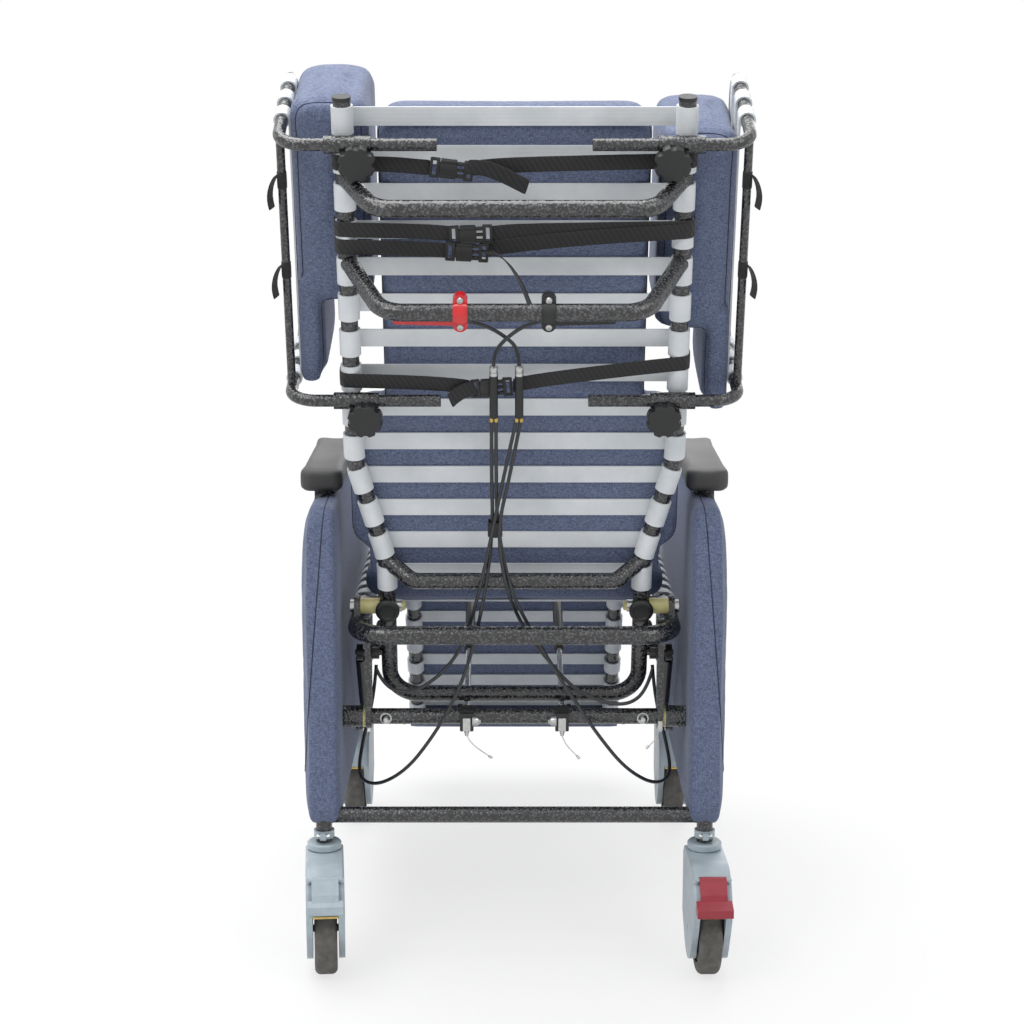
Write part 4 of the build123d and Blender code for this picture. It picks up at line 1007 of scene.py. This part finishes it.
for side, hand in ((-1, "left"), (1, "right")):
    for up, word in ((606, "upper"), (486, "lower")):
        rod = side * 293
        wrap = round_the_rod(rod, up, -18, 6.6)
        tape(f"{hand}_{word}_tie", wrap, back_up, 0.022, 0.0014, hook_loop, hand + "_wing")
        tape(
            f"{hand}_{word}_tie_flag",
            [
                on_back(rod + side * 6.5, up + 8, -14),
                on_back(rod + side * 11, up + 2, -11),
                on_back(rod + side * 15, up - 9, -9),
                on_back(rod + side * 16.5, up - 22, -9),
                on_back(rod + side * 14, up - 36, -11),
            ],
            Vector((0.35 * side, 0, 0)) + back_rear,
            0.017,
            0.0014,
            hook_loop,
            hand + "_wing",
        )
tie_up, tie_x, tie_rear, tie_half = 133, -26, 25, 10
tape(
    "cable_tie",
    [
        on_back(tie_x - tie_half, tie_up, tie_rear - 7),
        on_back(tie_x - tie_half, tie_up, tie_rear + 6),
        on_back(tie_x, tie_up, tie_rear + 8),
        on_back(tie_x + tie_half, tie_up, tie_rear + 6),
        on_back(tie_x + tie_half, tie_up, tie_rear - 7),
        on_back(tie_x, tie_up, tie_rear - 8.5),
        on_back(tie_x - tie_half, tie_up, tie_rear - 7),
    ],
    back_up,
    0.022,
    0.0016,
    hook_loop,
    "backrest",
)

# The cushion straps: 20 mm black webbing that comes round each upright from the cushion and meets
# behind the back in a side-release buckle. Loose tails are left where the straps were pulled tight.
web_w, web_t, web_rear = 20, 0.0015, 15.2
upright_x = 213


def half_strap(name, side, up, run, rear=web_rear):
    outer = upright_x + web_rear
    wrapped = [
        on_back(side * (outer + 0.4), up, -13),
        on_back(side * (outer + 0.6), up, -2),
        on_back(side * (outer - 0.4), up, 7),
        on_back(side * (outer - 6), up, 13.4),
        on_back(side * (outer - 15), up, rear),
    ]
    path = wrapped + [on_back(*spot) for spot in run]
    made = tape(name, path, back_up, web_w / 1000, web_t, webbing, "backrest")
    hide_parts("back_webbing")


half_strap("top_strap_left", -1, 638, [(-150, 637, 15.4), (-128, 635, 17), (-104, 634, 20)])
half_strap("top_strap_right", 1, 641, [(150, 640, 15.4), (20, 637, 15.4), (-30, 635, 17), (-52, 633, 20)])
half_strap("middle_strap_left", -1, 551, [(-150, 550, 15.4), (-104, 549, 16.5), (-80, 548, 20)])
half_strap(
    "middle_strap_right", 1, 553, [(150, 552, 15.4), (20, 550, 15.4), (-10, 549, 16.5), (-30, 548, 20)])
half_strap("second_strap_left", -1, 528, [(-150, 527, 15.4), (-108, 526, 16.5), (-84, 525, 20)])
over_middle = 17.4
half_strap(
    "second_strap_right",
    1,
    549,
    [(150, 546, over_middle), (40, 537, over_middle), (-10, 530, over_middle), (-36, 527, 20)],
    over_middle,
)
half_strap("low_strap_left", -1, 344, [(-150, 343, 15.4), (-92, 340, 16), (-58, 337, 18.5)])
half_strap("low_strap_right", 1, 368, [(150, 361, 15.4), (60, 349, 15.4), (20, 343, 16), (-2, 339, 18.5)])


def loose_tail(name, run, across):
    made = tape(name, [on_back(*spot) for spot in run], across, web_w / 1000, web_t, webbing, "backrest")
    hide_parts("back_webbing")


loose_tail(
    "top_strap_tail",
    [(-60, 637, 27), (-44, 638, 29), (-26, 633, 28), (-4, 622, 28), (16, 612, 31)],
    Vector((0.3, 0, 0)) + back_up,
)
loose_tail(
    "second_strap_tail",
    [(-40, 527, 27), (-24, 527, 31), (-8, 518, 36), (8, 494, 43), (18, 470, 50), (25, 452, 55)],
    Vector((0.45, 0, 0)) + back_rear,
)
loose_tail(
    "low_strap_tail",
    [(-50, 338, 25), (-64, 336, 26), (-76, 328, 25), (-84, 320, 27)],
    Vector((-0.4, 0, 0)) + back_up,
)


# Side-release buckle: a hollow catch, a tongue with two prongs, and a slotted bar at each end
def buckle(name, x, up, rear, tilt):
    facing = Matrix((Vector((1, 0, 0)), back_up, back_rear)).transposed().to_4x4()
    turn = Matrix.Rotation(math.radians(tilt), 4, "Z")
    place = Matrix.Translation(on_back(x, up, rear)) @ facing @ turn
    shape = bmesh.new()
    for off_x, off_y, size in (
        (-4, 9.5, (20, 5, 8.5)),
        (-4, -9.5, (20, 5, 8.5)),
        (-4, 0, (22, 15, 8)),
        (10.5, 8, (12, 4.4, 5.5)),
        (10.5, -8, (12, 4.4, 5.5)),
        (10, 0, (12, 4, 4.5)),
        (17, 0, (4.4, 25, 7.5)),
        (25.5, 0, (3.6, 25, 5.5)),
        (21, 11, (11, 3.4, 5.5)),
        (21, -11, (11, 3.4, 5.5)),
        (-17, 0, (4.4, 25, 7.5)),
        (-25.5, 0, (3.6, 25, 5.5)),
        (-21, 11, (11, 3.4, 5.5)),
        (-21, -11, (11, 3.4, 5.5)),
    ):
        block(shape, place @ Matrix.Translation(Vector((off_x, off_y, 0)) / 1000), size, 1.2)
    made = fitting(name, shape, moulded, "backrest")
    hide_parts("back_buckles")


buckle("top_buckle", -78, 633, 22.5, -7)
buckle("middle_buckle", -55, 547, 21.5, 2)
buckle("second_buckle", -60, 525, 23, -3)
buckle("low_buckle", -30, 337, 20.5, 4)

# The sleeve at the foot of the calf cushion: a fold of the cover cloth that wraps the low bar of the
# leg rest and keeps the cushion from sliding up.
sleeve_w = 0.354
sleeve = tape(
    "calf_sleeve",
    [
        leg_hinge + leg_down * down / 1000 + leg_front * front / 1000
        for down, front in (
            (370, 15), (392, 15), (402, 11), (407, 1), (403, -9), (393, -14), (378, -14.6), (368, -14.6))
    ],
    Vector((1, 0, 0)),
    sleeve_w,
    0.0014,
    cover_cloth,
    "legrest",
)
